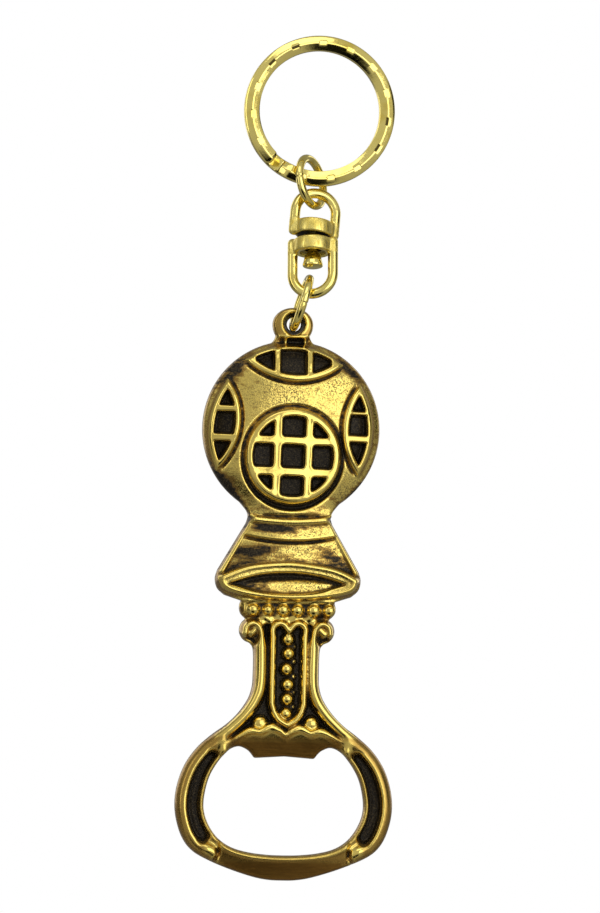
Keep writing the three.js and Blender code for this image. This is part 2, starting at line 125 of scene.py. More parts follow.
def zero_crossings(field):
    """Where a 2-D or 3-D grid of signed distances crosses zero.

    Gives, for each cell, whether the outline passes through it and the middle of the crossings on its
    edges (as shares of the cell), then for each axis which grid edges cross and which start inside.
    """
    cells = np.array(field.shape) - 1
    total = np.zeros((*cells, field.ndim))
    hits = np.zeros(cells)
    crossings = []
    for axis in range(field.ndim):
        first = np.take(field, range(cells[axis]), axis=axis)
        second = np.take(field, range(1, cells[axis] + 1), axis=axis)
        cross = (first < 0) != (second < 0)
        along = first / np.where(cross, first - second, 1.0)
        crossings.append((cross, first < 0))
        others = [(axis + k) % field.ndim for k in range(1, field.ndim)]
        for shifts in itertools.product((0, 1), repeat=len(others)):
            window = [slice(None)] * field.ndim
            for other, shift in zip(others, shifts):
                window[other] = slice(shift, shift + cells[other])
            here = cross[tuple(window)]
            hits += here
            total[..., axis] += np.where(here, along[tuple(window)], 0)
            for other, shift in zip(others, shifts):
                total[..., other] += here * shift
    return hits > 0, total / np.maximum(hits, 1)[..., None], crossings


def surface_net(field, origin, step):
    """The closed quad surface where a 3-D grid of signed distances crosses zero."""
    active, middle, crossings = zero_crossings(field)
    index = np.full(active.shape, -1)
    index[active] = np.arange(active.sum())
    points = np.asarray(origin) + step * (np.argwhere(active) + middle[active])
    faces = []
    for axis, (cross, low_inside) in enumerate(crossings):
        place = np.argwhere(cross)
        b, c = (axis + 1) % 3, (axis + 2) % 3
        around = []
        for db, dc in ((-1, -1), (0, -1), (0, 0), (-1, 0)):
            shifted = place.copy()
            shifted[:, b] += db
            shifted[:, c] += dc
            around.append(index[tuple(shifted.T)])
        quads = np.column_stack(around)
        flip = ~low_inside[tuple(place.T)]
        quads[flip] = quads[flip][:, ::-1]
        faces.extend(quads.tolist())
    return points, faces


def mark_wear_and_shade(piece, values):
    """Stores four values at every point of a piece, for its material to read: marks of use and age, and
    painted shade.
    """
    colour = piece.data.color_attributes.new("wear_and_shade", "FLOAT_COLOR", "POINT")
    colour.data.foreach_set("color", np.asarray(values, float).ravel())


def placed(points, rotation, centre):
    """Points in millimetres, turned and then moved."""
    return points @ np.array(rotation.to_matrix()).T + centre


# ---- Opener body: relief drawn as a height map over its outline, in millimetres ----

GRID = 0.21                       # spacing of the sculpting grid
BLOCK = 8                         # grid steps across one face of the plain back
EYE_RADIUS = 4.0
EYE_HOLE = (0.25, 0.15, 1.5)      # x, y, radius at the back
EYE_DISH = (0.2, 0.2, 2.2)        # and where its countersink meets the front
EYE_FLATTENING = 1.2              # the eye's top is lower than a circle's
EYE_THICKNESS = 2.8
FRONT_EDGE, BACK_EDGE = 0.55, 0.4    # radii of the rounded edges
PLATE = 3.0                       # height of the plain casting
COLUMN_EDGE = 2.7                 # and of the column outside its pillars
HELMET_Y, HELMET_R = -21.0, 17.7
PORT_X, PORT_Y, PORT_R = 0.2, -26.45, 9.55
HELMET_FOOT, COLUMN_TOP, LOOP_TOP = -38.4, -58.4, -82.6     # where one part of the relief ends
# Patina left dark or, where the amount is negative, thinned: x, y, width, length, degrees, amount
STAINS = (
    (-13.2, -33.0, 1.6, 4.5, -52, 0.9),
    (13.0, -34.2, 1.1, 3.5, 52, 0.7),
    (-11.6, -9.6, 1.5, 4.6, 48, 0.55),
    (11.2, -9.0, 0.9, 4.2, -42, 0.5),
    (7.2, -39.2, 0.7, 2.4, -10, 0.45),
    (-9.5, -38.0, 1.0, 2.2, -40, 0.6),
    (-4.0, -40.9, 0.7, 4.6, -1, 0.75),
    (-7.6, -45.4, 1.2, 4.6, 6, 0.6),
    (8.3, -46.2, 1.1, 3.4, -30, 0.4),
    (2.5, -52.0, 1.2, 6.0, 0, -0.8),
    (0.0, -55.3, 0.4, 8.0, 0, -1.2),
    (0.0, -59.2, 0.8, 5.8, 0, -1.1),
)
# Made bright on both sides of the loop, over the hump and the scroll: partly rubbed and partly a painted
# highlight. Distance from the axis, y, radius
WORN_AND_HIGHLIT_SPOTS = ((12.35, -84.2, 1.2), (14.4, -104.7, 1.2))
# How sunk, exposed, brushed, mottled and sloped the casting is off its front
BACK_WEAR = (0.42, 0.5, 0.0, 0.0, 0.3)
WALL_WEAR = (0.45, 0.5, 0.0, 0.0, 0.4)
RELIEF_TILT = math.radians(-1.3)  # the helmet's ports sit slightly askew
PORT_FLOOR = 4.7                  # floor of the front port's cells
GRILLE_DEPTH = 2.6                # depth of the cells of the other ports
CARTOUCHE_X = 0.3                 # and its cartouche slightly off the axis
CARTOUCHE_BEAD_Y = (-62.9, -65.75, -68.85, -71.95, -74.85, -77.75)
PLATE_BEADS = ((-6.95, 1.42), (-4.0, 1.27), (-0.95, 1.42), (1.95, 1.37), (5.2, 1.5), (8.3, 1.42))
# Every bead: x, y, radius, height of its foot, height of its crest
BEADS = [(x, -57.1, radius, 3.0, 4.6) for x, radius in PLATE_BEADS]
BEADS += [(CARTOUCHE_X - 0.1 + 0.18 * math.sin(2.3 * index), y, 1.36, 2.2, 3.85)
          for index, y in enumerate(CARTOUCHE_BEAD_Y)]
BEADS += [(-5.1, -79.75, 1.7, 2.1, 3.7), (5.2, -79.75, 1.7, 2.1, 3.7)]


def spline(points, steps=8):
    """A smooth open curve through a few points, as a dense list of points."""
    p = np.array(points, float)
    p = np.vstack([2 * p[0] - p[1], p, 2 * p[-1] - p[-2]])
    t = np.linspace(0, 1, steps, endpoint=False)[:, None]
    out = []
    for a, b, c, d in zip(p[:-3], p[1:-2], p[2:-1], p[3:]):
        out.append(0.5 * (2 * b + (c - a) * t + (2 * a - 5 * b + 4 * c - d) * t**2
                          + (3 * b - a - 3 * c + d) * t**3))
    return np.vstack(out + [p[-2][None]])


def arc(x, y, radius, start, end, steps):
    """Points round a circle between two angles in degrees."""
    angle = np.radians(np.linspace(start, end, steps))
    return np.column_stack([x + radius * np.cos(angle), y + radius * np.sin(angle)])


def mirrored(*parts):
    """A closed outline from the parts of its right-hand half, from its top to its foot on the axis."""
    half = np.vstack(parts)
    inner = half[np.abs(half[:, 0]) > 1e-6][::-1] * (-1, 1)
    return np.vstack([half, inner])


def line_distance(x, y, points, closed=False):
    """Distance from every grid point to a polyline."""
    p = np.asarray(points, float)
    ends = np.roll(p, -1, axis=0) if closed else p[1:]
    nearest = np.full(x.shape, 1e9)
    for (ax, ay), (bx, by) in zip(p, ends):
        dx, dy = bx - ax, by - ay
        t = np.clip(((x - ax) * dx + (y - ay) * dy) / max(dx * dx + dy * dy, 1e-12), 0, 1)
        nearest = np.minimum(nearest, (x - ax - t * dx) ** 2 + (y - ay - t * dy) ** 2)
    return np.sqrt(nearest)


def area_distance(x, y, outline):
    """Signed distance to a closed outline, negative inside."""
    p = np.asarray(outline, float)
    inside = np.zeros(x.shape, bool)
    for (ax, ay), (bx, by) in zip(p, np.roll(p, -1, axis=0)):
        crosses = (ay > y) != (by > y)
        if ay != by:
            inside ^= crosses & (x < (bx - ax) * (y - ay) / (by - ay) + ax)
    distance = line_distance(x, y, p, closed=True)
    return np.where(inside, -distance, distance)


def box_distance(x, y, x0, x1, y0, y1, corner=0.0):
    """Signed distance to a rectangle with rounded corners."""
    qx = np.abs(x - (x0 + x1) / 2) - (x1 - x0) / 2 + corner
    qy = np.abs(y - (y0 + y1) / 2) - (y1 - y0) / 2 + corner
    outside = np.hypot(np.maximum(qx, 0), np.maximum(qy, 0))
    return outside + np.minimum(np.maximum(qx, qy), 0) - corner


def smooth_max(a, b, blend):
    """The larger of two heights or distances, with the crease between them rounded."""
    h = np.clip(0.5 + 0.5 * (a - b) / blend, 0, 1)
    return b + (a - b) * h + blend * h * (1 - h)


def smooth_min(a, b, blend):
    return -smooth_max(-a, -b, blend)


def inside(distance, softness):
    """1 well inside a shape and 0 outside, with a soft edge centred on its outline."""
    t = np.clip(0.5 - distance / softness, 0, 1)
    return t * t * (3 - 2 * t)


def near(distance, width):
    """1 on a line, fading away on both sides of it."""
    return np.exp(-(distance / width) ** 2)


def cord_profile(distance, half_width):
    """The rounded section of a raised rib, 1 on its crest and 0 at its foot."""
    return np.sqrt(np.clip(1 - (distance / half_width) ** 2, 0, 1))


def raise_rib(height, distance, half_width, foot, crest, blend=0.25):
    """Adds a rounded rib whose crest is at one height and whose foot is at another."""
    rib = foot + (crest - foot) * cord_profile(distance, half_width)
    rib = np.where(distance < half_width, rib, foot - (distance - half_width) * 2.5)
    return smooth_max(height, rib, blend)


def raise_bead(height, x, y, cx, cy, radius, foot, crest, blend):
    """Adds a round bead in the same way."""
    return raise_rib(height, np.hypot(x - cx, y - cy), radius, foot, crest, blend)


def sink(height, distance, floor, softness):
    """Lowers the surface to a floor inside a shape, with a steep wall at its outline."""
    share = inside(distance, softness)
    return np.where(height > floor, height + (floor - height) * share, height)


def body_outline():
    """Helmet, neck, breastplate, beaded plate, column and loop, without the hanging eye."""
    return mirrored(
        [[0, -3.4]],
        arc(0, HELMET_Y, HELMET_R, 75.5, -55.5, 60),
        spline([[9.4, -36.3], [8.5, -37.5], [8.25, -38.6], [8.6, -39.9]], 6),
        spline([[14.1, -49.3], [14.55, -51], [14.1, -52.9], [12.7, -54.2]], 6),
        spline([[9.3, -55.3], [9.6, -56.6], [9.3, -57.9], [8.3, -58.9]], 4),
        arc(7.0, -61.2, 2.5, 55, -60, 14),
        spline([[7.4, -63.7], [6.75, -64.6], [6.55, -66.5], [6.55, -70], [6.7, -72.5],
                [7.5, -75], [9.35, -77.75], [11.7, -80.1], [14.6, -82.25], [17.5, -84.9],
                [19.8, -88.2], [21.2, -92], [21.7, -95.7], [21.3, -99.3], [20, -102.9],
                [17.9, -105.4], [14.4, -107.3], [9.9, -109.05], [5.4, -110.4], [2.4, -110.88],
                [0, -110.95]], 6),
    )


def cap_opening():
    """The hole of the loop, with the tooth at its top."""
    return mirrored(
        [[0, -86.2]], arc(5.75, -86.1, 0.5, -95, -20, 6),
        spline([[6.6, -85.75], [7.5, -84.95], [9.3, -84.35], [11.4, -85.3], [13.6, -87.9],
                [15.2, -91], [16.05, -95], [15.85, -98], [14.65, -100.8], [12.8, -103.1],
                [10.2, -104.7], [6.8, -105.6], [3.0, -106.02], [0, -106.1]], 7),
    )


def tilted(x, y):
    """The helmet's own axes, turned a little about its centre."""
    c, s = math.cos(RELIEF_TILT), math.sin(RELIEF_TILT)
    dy = y - HELMET_Y
    return x * c + dy * s, HELMET_Y - x * s + dy * c


def helmet_height(x, y):
    """The dome, running into the round neck below it."""
    radius = np.hypot(x, y - HELMET_Y) / (HELMET_R + 0.25)
    dome = 2.4 + 4.3 * np.clip(1 - radius**2.7, 0, 1) ** 0.6
    neck = 2.6 + 2.5 * cord_profile(x, 9.6) * inside(np.abs(y + 37.2) - 3.2, 2.5)
    return smooth_max(dome, neck, 1.2)


def lens_port(x, y, height, arc_centre, arc_radius, rim_widths, axis_cells):
    """A port on the helmet's shoulder: a raised lens between an arc and the helmet's rim."""
    arc_gap = np.hypot(x - arc_centre[0], y - arc_centre[1]) - arc_radius
    rim_gap = np.hypot(x + 0.35, y - HELMET_Y) - (HELMET_R - 1.0)
    lens = np.maximum(arc_gap, rim_gap)
    moat = near(arc_gap - 0.25, 0.25) * inside(rim_gap + 1.2, 1.6)
    raised = height + 0.7 * inside(lens + 0.2, 0.8) - 0.6 * moat
    raised = raised + 0.12 * near(lens + 0.7, 0.6)
    for cell in axis_cells:
        hole = np.maximum(cell, np.maximum(arc_gap + rim_widths[0], rim_gap + rim_widths[1]))
        raised = raised + 0.06 * near(hole - 0.3, 0.3) - GRILLE_DEPTH * inside(hole, 0.5)
    return np.where(lens < 2.6, raised, height)


def edge_ports(x, y, height):
    """The ports at the helmet's top and sides, each with the cells of its grille."""
    tx, ty = tilted(x, y)
    top_cells = [
        box_distance(tx, ty, -2.85, 2.2, -10.5, -5.1, 0.5),
        box_distance(tx, ty, 3.65, 7.1, -12, -3, 0.4),
        box_distance(tx, ty, -7.7, -4.3, -12, -3, 0.4),
    ]
    height = lens_port(tx, ty, height, (0, 2.9), 14.55, (1.6, 0.8), top_cells)
    for side, bars in ((-1, (-16.7, -18.15, -22.4, -24.1)), (1, (-16.8, -17.75, -21.6, -23.2))):
        sx = side * tx
        if side < 0:
            sx = sx - 0.6 + 0.06 * (ty + 20.5)
        cells = [
            box_distance(sx, ty, 8, 19, bars[0], -12.0, 0.4),
            box_distance(sx, ty, 8, 19, bars[2], bars[1], 0.5),
            box_distance(sx, ty, 8, 19, -28.0, bars[3], 0.4),
        ]
        height = lens_port(sx, ty, height, (23.6, -20.5), 13.8, (1.45 + 0.1 * side, 1.45), cells)
    return height


def front_port(x, y, height):
    """The round port: a groove round it, a flat raised rim and a grille of nine cells."""
    tx, ty = tilted(x, y)
    radius = np.hypot(tx - PORT_X, ty - PORT_Y)
    below = np.clip((PORT_Y - ty) / np.maximum(radius, 1), 0, 1)
    groove = near(radius - PORT_R - 0.5 - 0.2 * below, 0.28 + 0.2 * below)
    height = height - (0.55 + 0.5 * below) * groove
    face = 7.35 - 0.003 * radius**2 + 0.1 * near(radius - 8.5, 0.7)
    port = face - np.clip(radius - PORT_R + 0.5, 0, None) ** 2 * 4
    height = smooth_max(height, port, 0.3)
    spans = {-1: (-12, -4.1), 0: (-2.2, 2.2), 1: (4.0, 12)}
    for column in (-1, 0, 1):
        for row in (-1, 0, 1):
            cell = box_distance(tx - PORT_X, ty - PORT_Y, *spans[column], *spans[row], 0.55)
            cell = smooth_max(cell, radius - 7.9, 0.5)
            height = height + 0.06 * near(cell - 0.3, 0.3)
            floor = PORT_FLOOR + 0.04 * np.sin(3.7 * x + 2 * column) * np.sin(4.1 * y + row)
            height = sink(height, cell, floor, 0.5)
    return height


def collar(x, y, height, edge):
    """The helmet's neck ring, the flaring breastplate and its lens-shaped moulding."""
    span = np.clip(np.abs(x) / 14.0, 0, 1)
    flare = 4.7 - 1.5 * span**2
    within = inside(np.abs(y + 46.5) - 8.4, 1.2)
    height = np.where(within > 0, height + (flare - height) * within, height)
    rib = spline([[-8.6, -38.9], [-4, -39.35], [0, -39.5], [4, -39.35], [8.6, -38.9]])
    height = raise_rib(height, line_distance(x, y, rib), 0.8, 4.2, 5.3)
    band_top, band_foot = -40.2, -43.35 + 0.0125 * x**2
    in_band = inside(np.abs(y - (band_foot + band_top) / 2) - (band_top - band_foot) / 2, 0.5)
    height = height + (0.15 + 0.5 * np.clip((band_top - y) / 3.2, 0, 1)) * in_band
    height = height - 0.6 * near(y - band_foot + 0.3, 0.3) * (np.abs(x) < 11)
    border = line_distance(np.abs(x), y, [[8.0, -39.6], [13.4, -49.6]])
    height = raise_rib(height, border, 0.55, 3.2, 4.45, 0.2)
    top = spline([[-13.6, -51.1], [-10.2, -49.6], [-6.7, -48.6], [0, -48.0], [6.7, -48.7],
                  [10.2, -49.6], [13.3, -51.1]])
    foot = spline([[13.3, -51.1], [12.4, -52.7], [9.8, -53.6], [5, -54.3], [0, -54.55], [-5, -54.3],
                   [-9.8, -53.6], [-12.6, -52.6], [-13.6, -51.1]])
    lens = area_distance(x, y, np.vstack([top[:-1], foot[:-1]]))
    height = height - 0.3 * inside(lens - 0.4, 0.5)
    height = raise_rib(height, np.abs(lens + 0.1), 0.85, 3.7, 5.5, 0.3)
    recess = area_distance(x, y, np.vstack([
        spline([[-11.9, -52.0], [-6, -50.35], [0, -49.8], [6, -50.35], [11.2, -51.8]])[:-1],
        spline([[11.2, -51.8], [5.5, -53.4], [0, -53.9], [-5.5, -53.55], [-11.9, -52.0]])[:-1]]))
    moulding = 4.75 + 0.5 * cord_profile(np.clip(recess - 0.9, -1.2, 1.2), 1.3)
    height = np.where(lens < -0.5, smooth_max(moulding, height - 0.5, 0.3), height)
    upper_side = np.clip((y + 51.9) / 1.5, 0, 1)
    height = sink(height, recess, 3.9 - 0.8 * upper_side, 0.6)
    chamfer = 2.8 + 2.2 * np.clip(-edge, 0, 1) ** 0.7
    beside = (y < -38.6) & (y > -55) & (edge > -1.0)
    return np.where(beside, np.minimum(height, chamfer), height)


def beaded_plate(x, y, height):
    """The plate under the row of beads, with a lip along its top."""
    plate = box_distance(x, y, -9.4, 9.4, -58.3, -55.2, 0.6)
    height = np.where(plate < 0.2, 2.9 + 0.6 * inside(plate + 0.5, 0.8), height)
    lip = np.abs(y + 55.2) + 0.3 * inside(8.4 - np.abs(x), 0.5)
    return raise_rib(height, lip, 0.7, 3.2, 4.1, 0.4)


def column_relief(x, y, height):
    """The sunk field, its two pillars and scrolls, the cartouche and its beads."""
    frieze = inside(box_distance(x, y, -5.9, 5.9, -61.2, -57.6, 0.6), 0.8)
    leaves = 3.4 + 0.25 * np.sin(2.1 * np.abs(x) - 1.1 * y) * np.sin(2.3 * y + 1.2)
    height = height + (leaves - height) * frieze
    field = area_distance(x, y, mirrored(
        [[0, -59.9], [4.6, -60.1]],
        spline([[5.0, -63], [5.0, -72], [6.0, -75.6], [8.4, -78.8], [12.4, -82.6]]),
        [[12.0, -83.4]], spline([[10.6, -82.9], [7.2, -81.3], [3, -80.9], [0, -82.3]])))
    grain = 0.05 * np.sin(5.1 * x + 1.3 * y) * np.sin(4.3 * y - 0.7 * x)
    height = sink(height, field, 1.9 + grain, 0.5)
    ax = np.abs(x)
    volute = np.hypot(ax - 6.9, y + 61.35)
    height = raise_rib(height, volute, 2.65, 2.2, 3.9, 0.3) - 0.7 * near(volute - 1.3, 0.45)
    leaf = line_distance(ax, y, [[6.4, -60.9], [7.4, -61.9]])
    height = raise_rib(height, leaf, 0.95, 2.6, 4.2, 0.4)
    notch = line_distance(ax, y, [[6.7, -63.4], [8.0, -62.7]])
    height = height - 1.2 * near(notch, 0.4)
    pillar = spline([[8.5, -61.9], [8.15, -60.4], [6.9, -59.8], [5.7, -60.6], [5.25, -62.3],
                     [5.2, -64.5], [5.2, -71.5], [6.05, -74.9], [8.1, -78.0], [11.0, -80.9],
                     [13.6, -83.0]])
    width = 0.8 + 0.55 * np.clip((-62.5 - y) / 2, 0, 1)
    height = raise_rib(height, line_distance(ax, y, pillar) / width, 1.0, 2.2, 4.75, 0.2)
    cx = x - CARTOUCHE_X
    inner = area_distance(cx, y, mirrored(
        [[0, -61.3], [0.5, -60.6]], arc(1.85, -61.2, 1.45, 145, 5, 14),
        [[3.2, -62.4], [3.2, -75.8]], spline([[2.75, -77.4], [1.7, -79.0], [0, -80.05]])))
    height = sink(height, inner, 2.1 + grain, 0.5)
    height = raise_rib(height, np.abs(inner), 0.88, 2.1, 4.5, 0.2)
    for cy in CARTOUCHE_BEAD_Y[:-1]:
        height = raise_bead(height, cx, y, 0.9, cy - 1.5, 0.8, 1.9, 2.6, 0.4)
    for bead in BEADS:
        height = raise_bead(height, x, y, *bead, 0.12)
    return height


def brow_and_tooth(x, y, height):
    """The wavy ridge over the cap opening and the tooth's face, which falls away below it."""
    crest = spline([[-11.4, -84.2], [-9, -82.5], [-6.9, -81.3], [-5, -81.55], [-3, -80.5],
                    [-1.4, -81.2], [0, -82.25], [1.4, -81.3], [3, -80.7], [5, -81.8], [7, -81.3],
                    [9.2, -82.4], [12, -84.1]])
    distance = line_distance(x, y, crest)
    ridge_y = np.interp(x, crest[:, 0], crest[:, 1])
    below = (y < ridge_y) & (np.abs(x) < 12.2) & (y > -87.5)
    fall = np.clip((-81.2 - 0.008 * x**2 - y) / 5.4, 0, 1)
    slope = 4.15 - 2.05 * fall**0.8 + 0.45 * near(ridge_y - y, 0.7)
    return np.where(below, slope, raise_rib(height, distance, 1.0, 3.0, 4.6, 0.3))


def loop_relief(x, y, height, edge, opening):
    """Sunk channels down both sides between two rims, humps and scrolls at their ends, and the bar."""
    ax = np.abs(x)
    inner_gap, outer_gap = opening, -edge
    sides = (y < LOOP_TOP) & (ax > 11.5)
    shoulder = inside(y + 83.0, 1.6) * inside(11.8 - ax, 1.2)
    height = height + (3.5 - height) * shoulder
    for gap, rise, half_width in ((outer_gap - 1.65, 2.3, 1.7), (inner_gap - 0.55, 1.7, 0.8)):
        rim = 2.3 + rise * cord_profile(gap, half_width)
        height = np.where(sides, smooth_max(height, rim, 0.2), height)
    channel = np.maximum(2.35 - outer_gap, 0.95 - inner_gap)
    ends = area_distance(ax, y, [[12, -87.2], [14.6, -85.4], [17.2, -83.4], [30, -84.2], [30, -103.9],
                                 [17.0, -104.7], [14.9, -102.4], [8, -95]])
    channel = smooth_max(channel, ends, 0.7)
    floor = 1.5 + 0.25 * np.clip(-channel, 0, 1.2)
    height = np.where(sides, sink(height, channel, floor, 0.6), height)
    hump = line_distance(ax, y, [[12.35, -85.3], [12.5, -82.9]])
    height = raise_rib(height, hump, 1.3, 2.8, 4.6, 0.6)
    lobe_along = (ax - 15.1) * 0.88 + (y + 105.1) * 0.48
    lobe_across = (y + 105.1) * 0.88 - (ax - 15.1) * 0.48
    height = raise_rib(height, np.hypot(lobe_along, 1.35 * lobe_across), 2.1, 2.4, 4.9, 0.35)
    bar = (ax < 12.9) & (y < -103) & (opening > -1.5)
    height = np.where(bar, 4.6 - 2.3 * np.clip((inner_gap - 0.9) / 4.4, 0, 1) ** 1.1, height)
    height = np.where(bar, raise_rib(height, np.abs(inner_gap - 0.65), 0.65, 3.7, 4.95, 0.25), height)
    worn_hump = inside(np.hypot(ax - 13.2, y + 84.0) - 2.6, 1.4)
    worn_scroll = inside(np.hypot(ax - 15, y + 104.2) - 2.4, 1.2)
    height = height + (blurred(height, 0.3) - height) * np.maximum(worn_hump, worn_scroll)
    notch = line_distance(ax, y, spline([[13.1, -105.1], [13.15, -106.1], [13.9, -107.4]]))
    return height - 1.4 * near(notch, 0.33)


def eye_relief(x, y, height):
    """The hanging eye with its dished hole, and the ledge and small pockets at its foot."""
    hole_radius = EYE_HOLE[2]
    dish_x, dish_y, dish_radius = EYE_DISH
    centre = np.hypot(x, y)
    eye = EYE_THICKNESS - 0.3 * np.clip((centre - 2.6) / 1.4, 0, 1.2) ** 2
    neck = (y > -4.6) & (np.abs(x) < 5.2)
    share = inside(-(y + 4.2), 1.6)
    height = np.where(neck | (y > -3.6), eye * share + np.maximum(height, 2.8) * (1 - share), height)
    ledge = line_distance(x, y, [[-2.6, -2.4], [3.2, -2.3]])
    height = height + 0.3 * near(ledge, 0.4)
    pocket = box_distance(x, y, -1.15, 2.1, -4.0, -2.85, 0.3)
    height = height + 0.25 * near(pocket - 0.35, 0.28)
    for px in (-2.2, 3.1):
        side = box_distance(x, y, px - 0.4, px + 0.4, -3.7, -2.7, 0.2)
        height = height - 0.5 * inside(side, 0.4)
    height = height - 1.3 * inside(pocket, 0.35)
    dish = np.hypot(x - dish_x, y - dish_y) - dish_radius
    height = height + 0.12 * near(dish - 0.35, 0.3)
    floor = 0.9 + 1.6 * np.clip(1 + dish / (dish_radius - hole_radius), 0, 1) ** 2
    return np.where(dish < 0, np.minimum(height, floor), height)


def opener_fields(x, y):
    """The casting's height above its flat back and its signed outline, over the grid."""
    body = area_distance(x, y, body_outline())
    neck = box_distance(x, y, -3.25, 3.25, -6.0, 0.0)
    flare = np.hypot(np.abs(x) - 5.6, y + 2.0) - 2.25
    flattened = np.where(y > 0, y * EYE_FLATTENING, y)
    eye = np.minimum(np.hypot(x, flattened) - EYE_RADIUS, np.maximum(neck, -flare))
    eye_foot = np.maximum(box_distance(x, y, -5.4, 5.4, -6, -2.2), -flare)
    outline = np.minimum(body, np.minimum(eye, eye_foot))
    opening = area_distance(x, y, cap_opening())
    hx, hy, hr = EYE_HOLE
    edge = np.maximum(outline, np.maximum(-opening, hr - np.hypot(x - hx, y - hy)))
    height = np.full(x.shape, PLATE)
    height = np.where(y > HELMET_FOOT, helmet_height(x, y), height)
    height = edge_ports(x, y, height)
    height = front_port(x, y, height)
    height = collar(x, y, height, body)
    height = beaded_plate(x, y, height)
    height = np.where(y < COLUMN_TOP, COLUMN_EDGE, height)
    height = column_relief(x, y, height)
    height = brow_and_tooth(x, y, height)
    height = loop_relief(x, y, height, body, opening)
    height = eye_relief(x, y, height)
    return height, edge


def blurred(values, sigma):
    """A Gaussian blur over the sculpting grid, sigma in millimetres."""
    half = int(math.ceil(3 * sigma / GRID))
    weights = np.exp(-0.5 * (np.arange(-half, half + 1) * GRID / sigma) ** 2)
    weights /= weights.sum()
    for axis in (0, 1):
        padding = [(0, 0), (0, 0)]
        padding[axis] = (half, half)
        padded = np.pad(values, padding, mode="edge")
        length = values.shape[axis]
        values = sum(w * np.take(padded, range(k, k + length), axis=axis) for k, w in enumerate(weights))
    return values


def rounding(depth, radius):
    """How far a rounded edge drops at a depth inside the outline."""
    short = np.clip(radius - depth, 0, radius)
    return radius - np.sqrt(radius**2 - short**2)


def in_cells(values, point):
    """Values read at the chosen point of every cell."""
    s, t = point[..., 0], point[..., 1]
    low = values[:-1, :-1] * (1 - s) + values[1:, :-1] * s
    high = values[:-1, 1:] * (1 - s) + values[1:, 1:] * s
    return low * (1 - t) + high * t


def opener_surface():
    """The whole casting: relief in front, rounded walls and a flat back, with its values for worn and
    sunk places and for painted shade.
    """
    columns = np.arange(-22.6, 22.6, GRID)
    rows = np.arange(-111.9, 5.1, GRID)
    x, y = np.meshgrid(columns, rows, indexing="ij")
    height, edge = opener_fields(x, y)
    solid = edge < 0
    used = solid[:-1, :-1] | solid[1:, :-1] | solid[:-1, 1:] | solid[1:, 1:]
    on_outline, middle, _ = zero_crossings(edge)
    point = np.where(on_outline[..., None], middle, 0.5)
    index = np.full(used.shape, -1)
    index[used] = np.arange(used.sum())
    px = in_cells(x, point)[used]
    py = in_cells(y, point)[used]
    depth = np.where(on_outline, 0, np.clip(-in_cells(edge, point), 0, None))[used]
    front = in_cells(height, point)[used] - rounding(depth, FRONT_EDGE)
    back = rounding(depth, BACK_EDGE)

    inner = np.argwhere(solid)
    i, j = inner[:, 0], inner[:, 1]
    quads = np.column_stack([index[i - 1, j - 1], index[i, j - 1], index[i, j], index[i - 1, j]])
    plain_blocks, in_block = back_blocks(edge, index)
    back_quads = quads[~in_block[i, j]][:, ::-1]

    sides = []
    for corner, di, dj in ((1, 1, 0), (2, 0, 1), (3, -1, 0), (0, 0, -1)):
        open_side = ~solid[i + di, j + dj]
        sides.append(quads[open_side][:, (corner, (corner + 1) % 4)])
    sides = np.vstack(sides)

    count = len(px)
    rim = np.unique(sides)
    slope_x, slope_y = np.gradient(edge, GRID)
    nx = in_cells(slope_x, point)[used][rim]
    ny = in_cells(slope_y, point)[used][rim]
    size = np.maximum(np.hypot(nx, ny), 1e-6)
    nx, ny = nx / size, ny / size
    off_outline = in_cells(edge, point)[used][rim]
    px[rim] -= off_outline * nx
    py[rim] -= off_outline * ny
    parting_height = 0.4 * front[rim] + 0.6 * back[rim]
    parting = np.column_stack([px[rim] + 0.1 * nx, py[rim] + 0.1 * ny, parting_height])
    middle_of = np.zeros(count, int)
    middle_of[rim] = 2 * count + np.arange(len(rim))
    points = np.vstack([np.column_stack([px, py, front]), np.column_stack([px, py, back]), parting])
    a, b = sides.T
    walls = np.vstack([np.column_stack([b, a, middle_of[a], middle_of[b]]),
                       np.column_stack([middle_of[b], middle_of[a], a + count, b + count])])
    faces = np.vstack([quads, back_quads + count, walls]).tolist()
    faces += [[k + count for k in block] for block in plain_blocks]

    wear_and_shade = wear_and_shade_values(x, y, height, edge)
    wear_and_shade = np.column_stack([in_cells(values, point)[used] for values in wear_and_shade])
    wall_wear_and_shade = np.tile(WALL_WEAR, (len(rim), 1))
    # The wall of the eye's hole is made fully dark: painted shade inside the hole.
    in_eye = np.hypot(px[rim] - EYE_HOLE[0], py[rim] - EYE_HOLE[1]) < EYE_HOLE[2] + 0.3
    wall_wear_and_shade[in_eye, 0] = 1.0
    wear_and_shade = np.vstack([wear_and_shade, np.tile(BACK_WEAR, (count, 1)), wall_wear_and_shade])
    kept = np.zeros(len(points), bool)
    kept[np.concatenate([np.ravel(face) for face in faces])] = True
    renumbered = np.cumsum(kept) - 1
    return points[kept], [renumbered[face].tolist() for face in faces], wear_and_shade[kept]


def back_blocks(edge, index):
    """Large flat faces for the plain back, and which grid points they cover."""
    covered = np.zeros(edge.shape, bool)
    blocks = []
    for i in range(1, edge.shape[0] - BLOCK, BLOCK):
        for j in range(1, edge.shape[1] - BLOCK, BLOCK):
            if edge[i - 1:i + BLOCK + 1, j - 1:j + BLOCK + 1].max() > -BACK_EDGE - GRID:
                continue
            covered[i:i + BLOCK, j:j + BLOCK] = True
            west, east, south, north = i - 1, i + BLOCK - 1, j - 1, j + BLOCK - 1
            ring = [(west, k) for k in range(south, north)]
            ring += [(k, north) for k in range(west, east)]
            ring += [(east, k) for k in range(north, south, -1)]
            ring += [(k, south) for k in range(east, west, -1)]
            blocks.append([int(index[cell]) for cell in ring])
    return blocks, covered


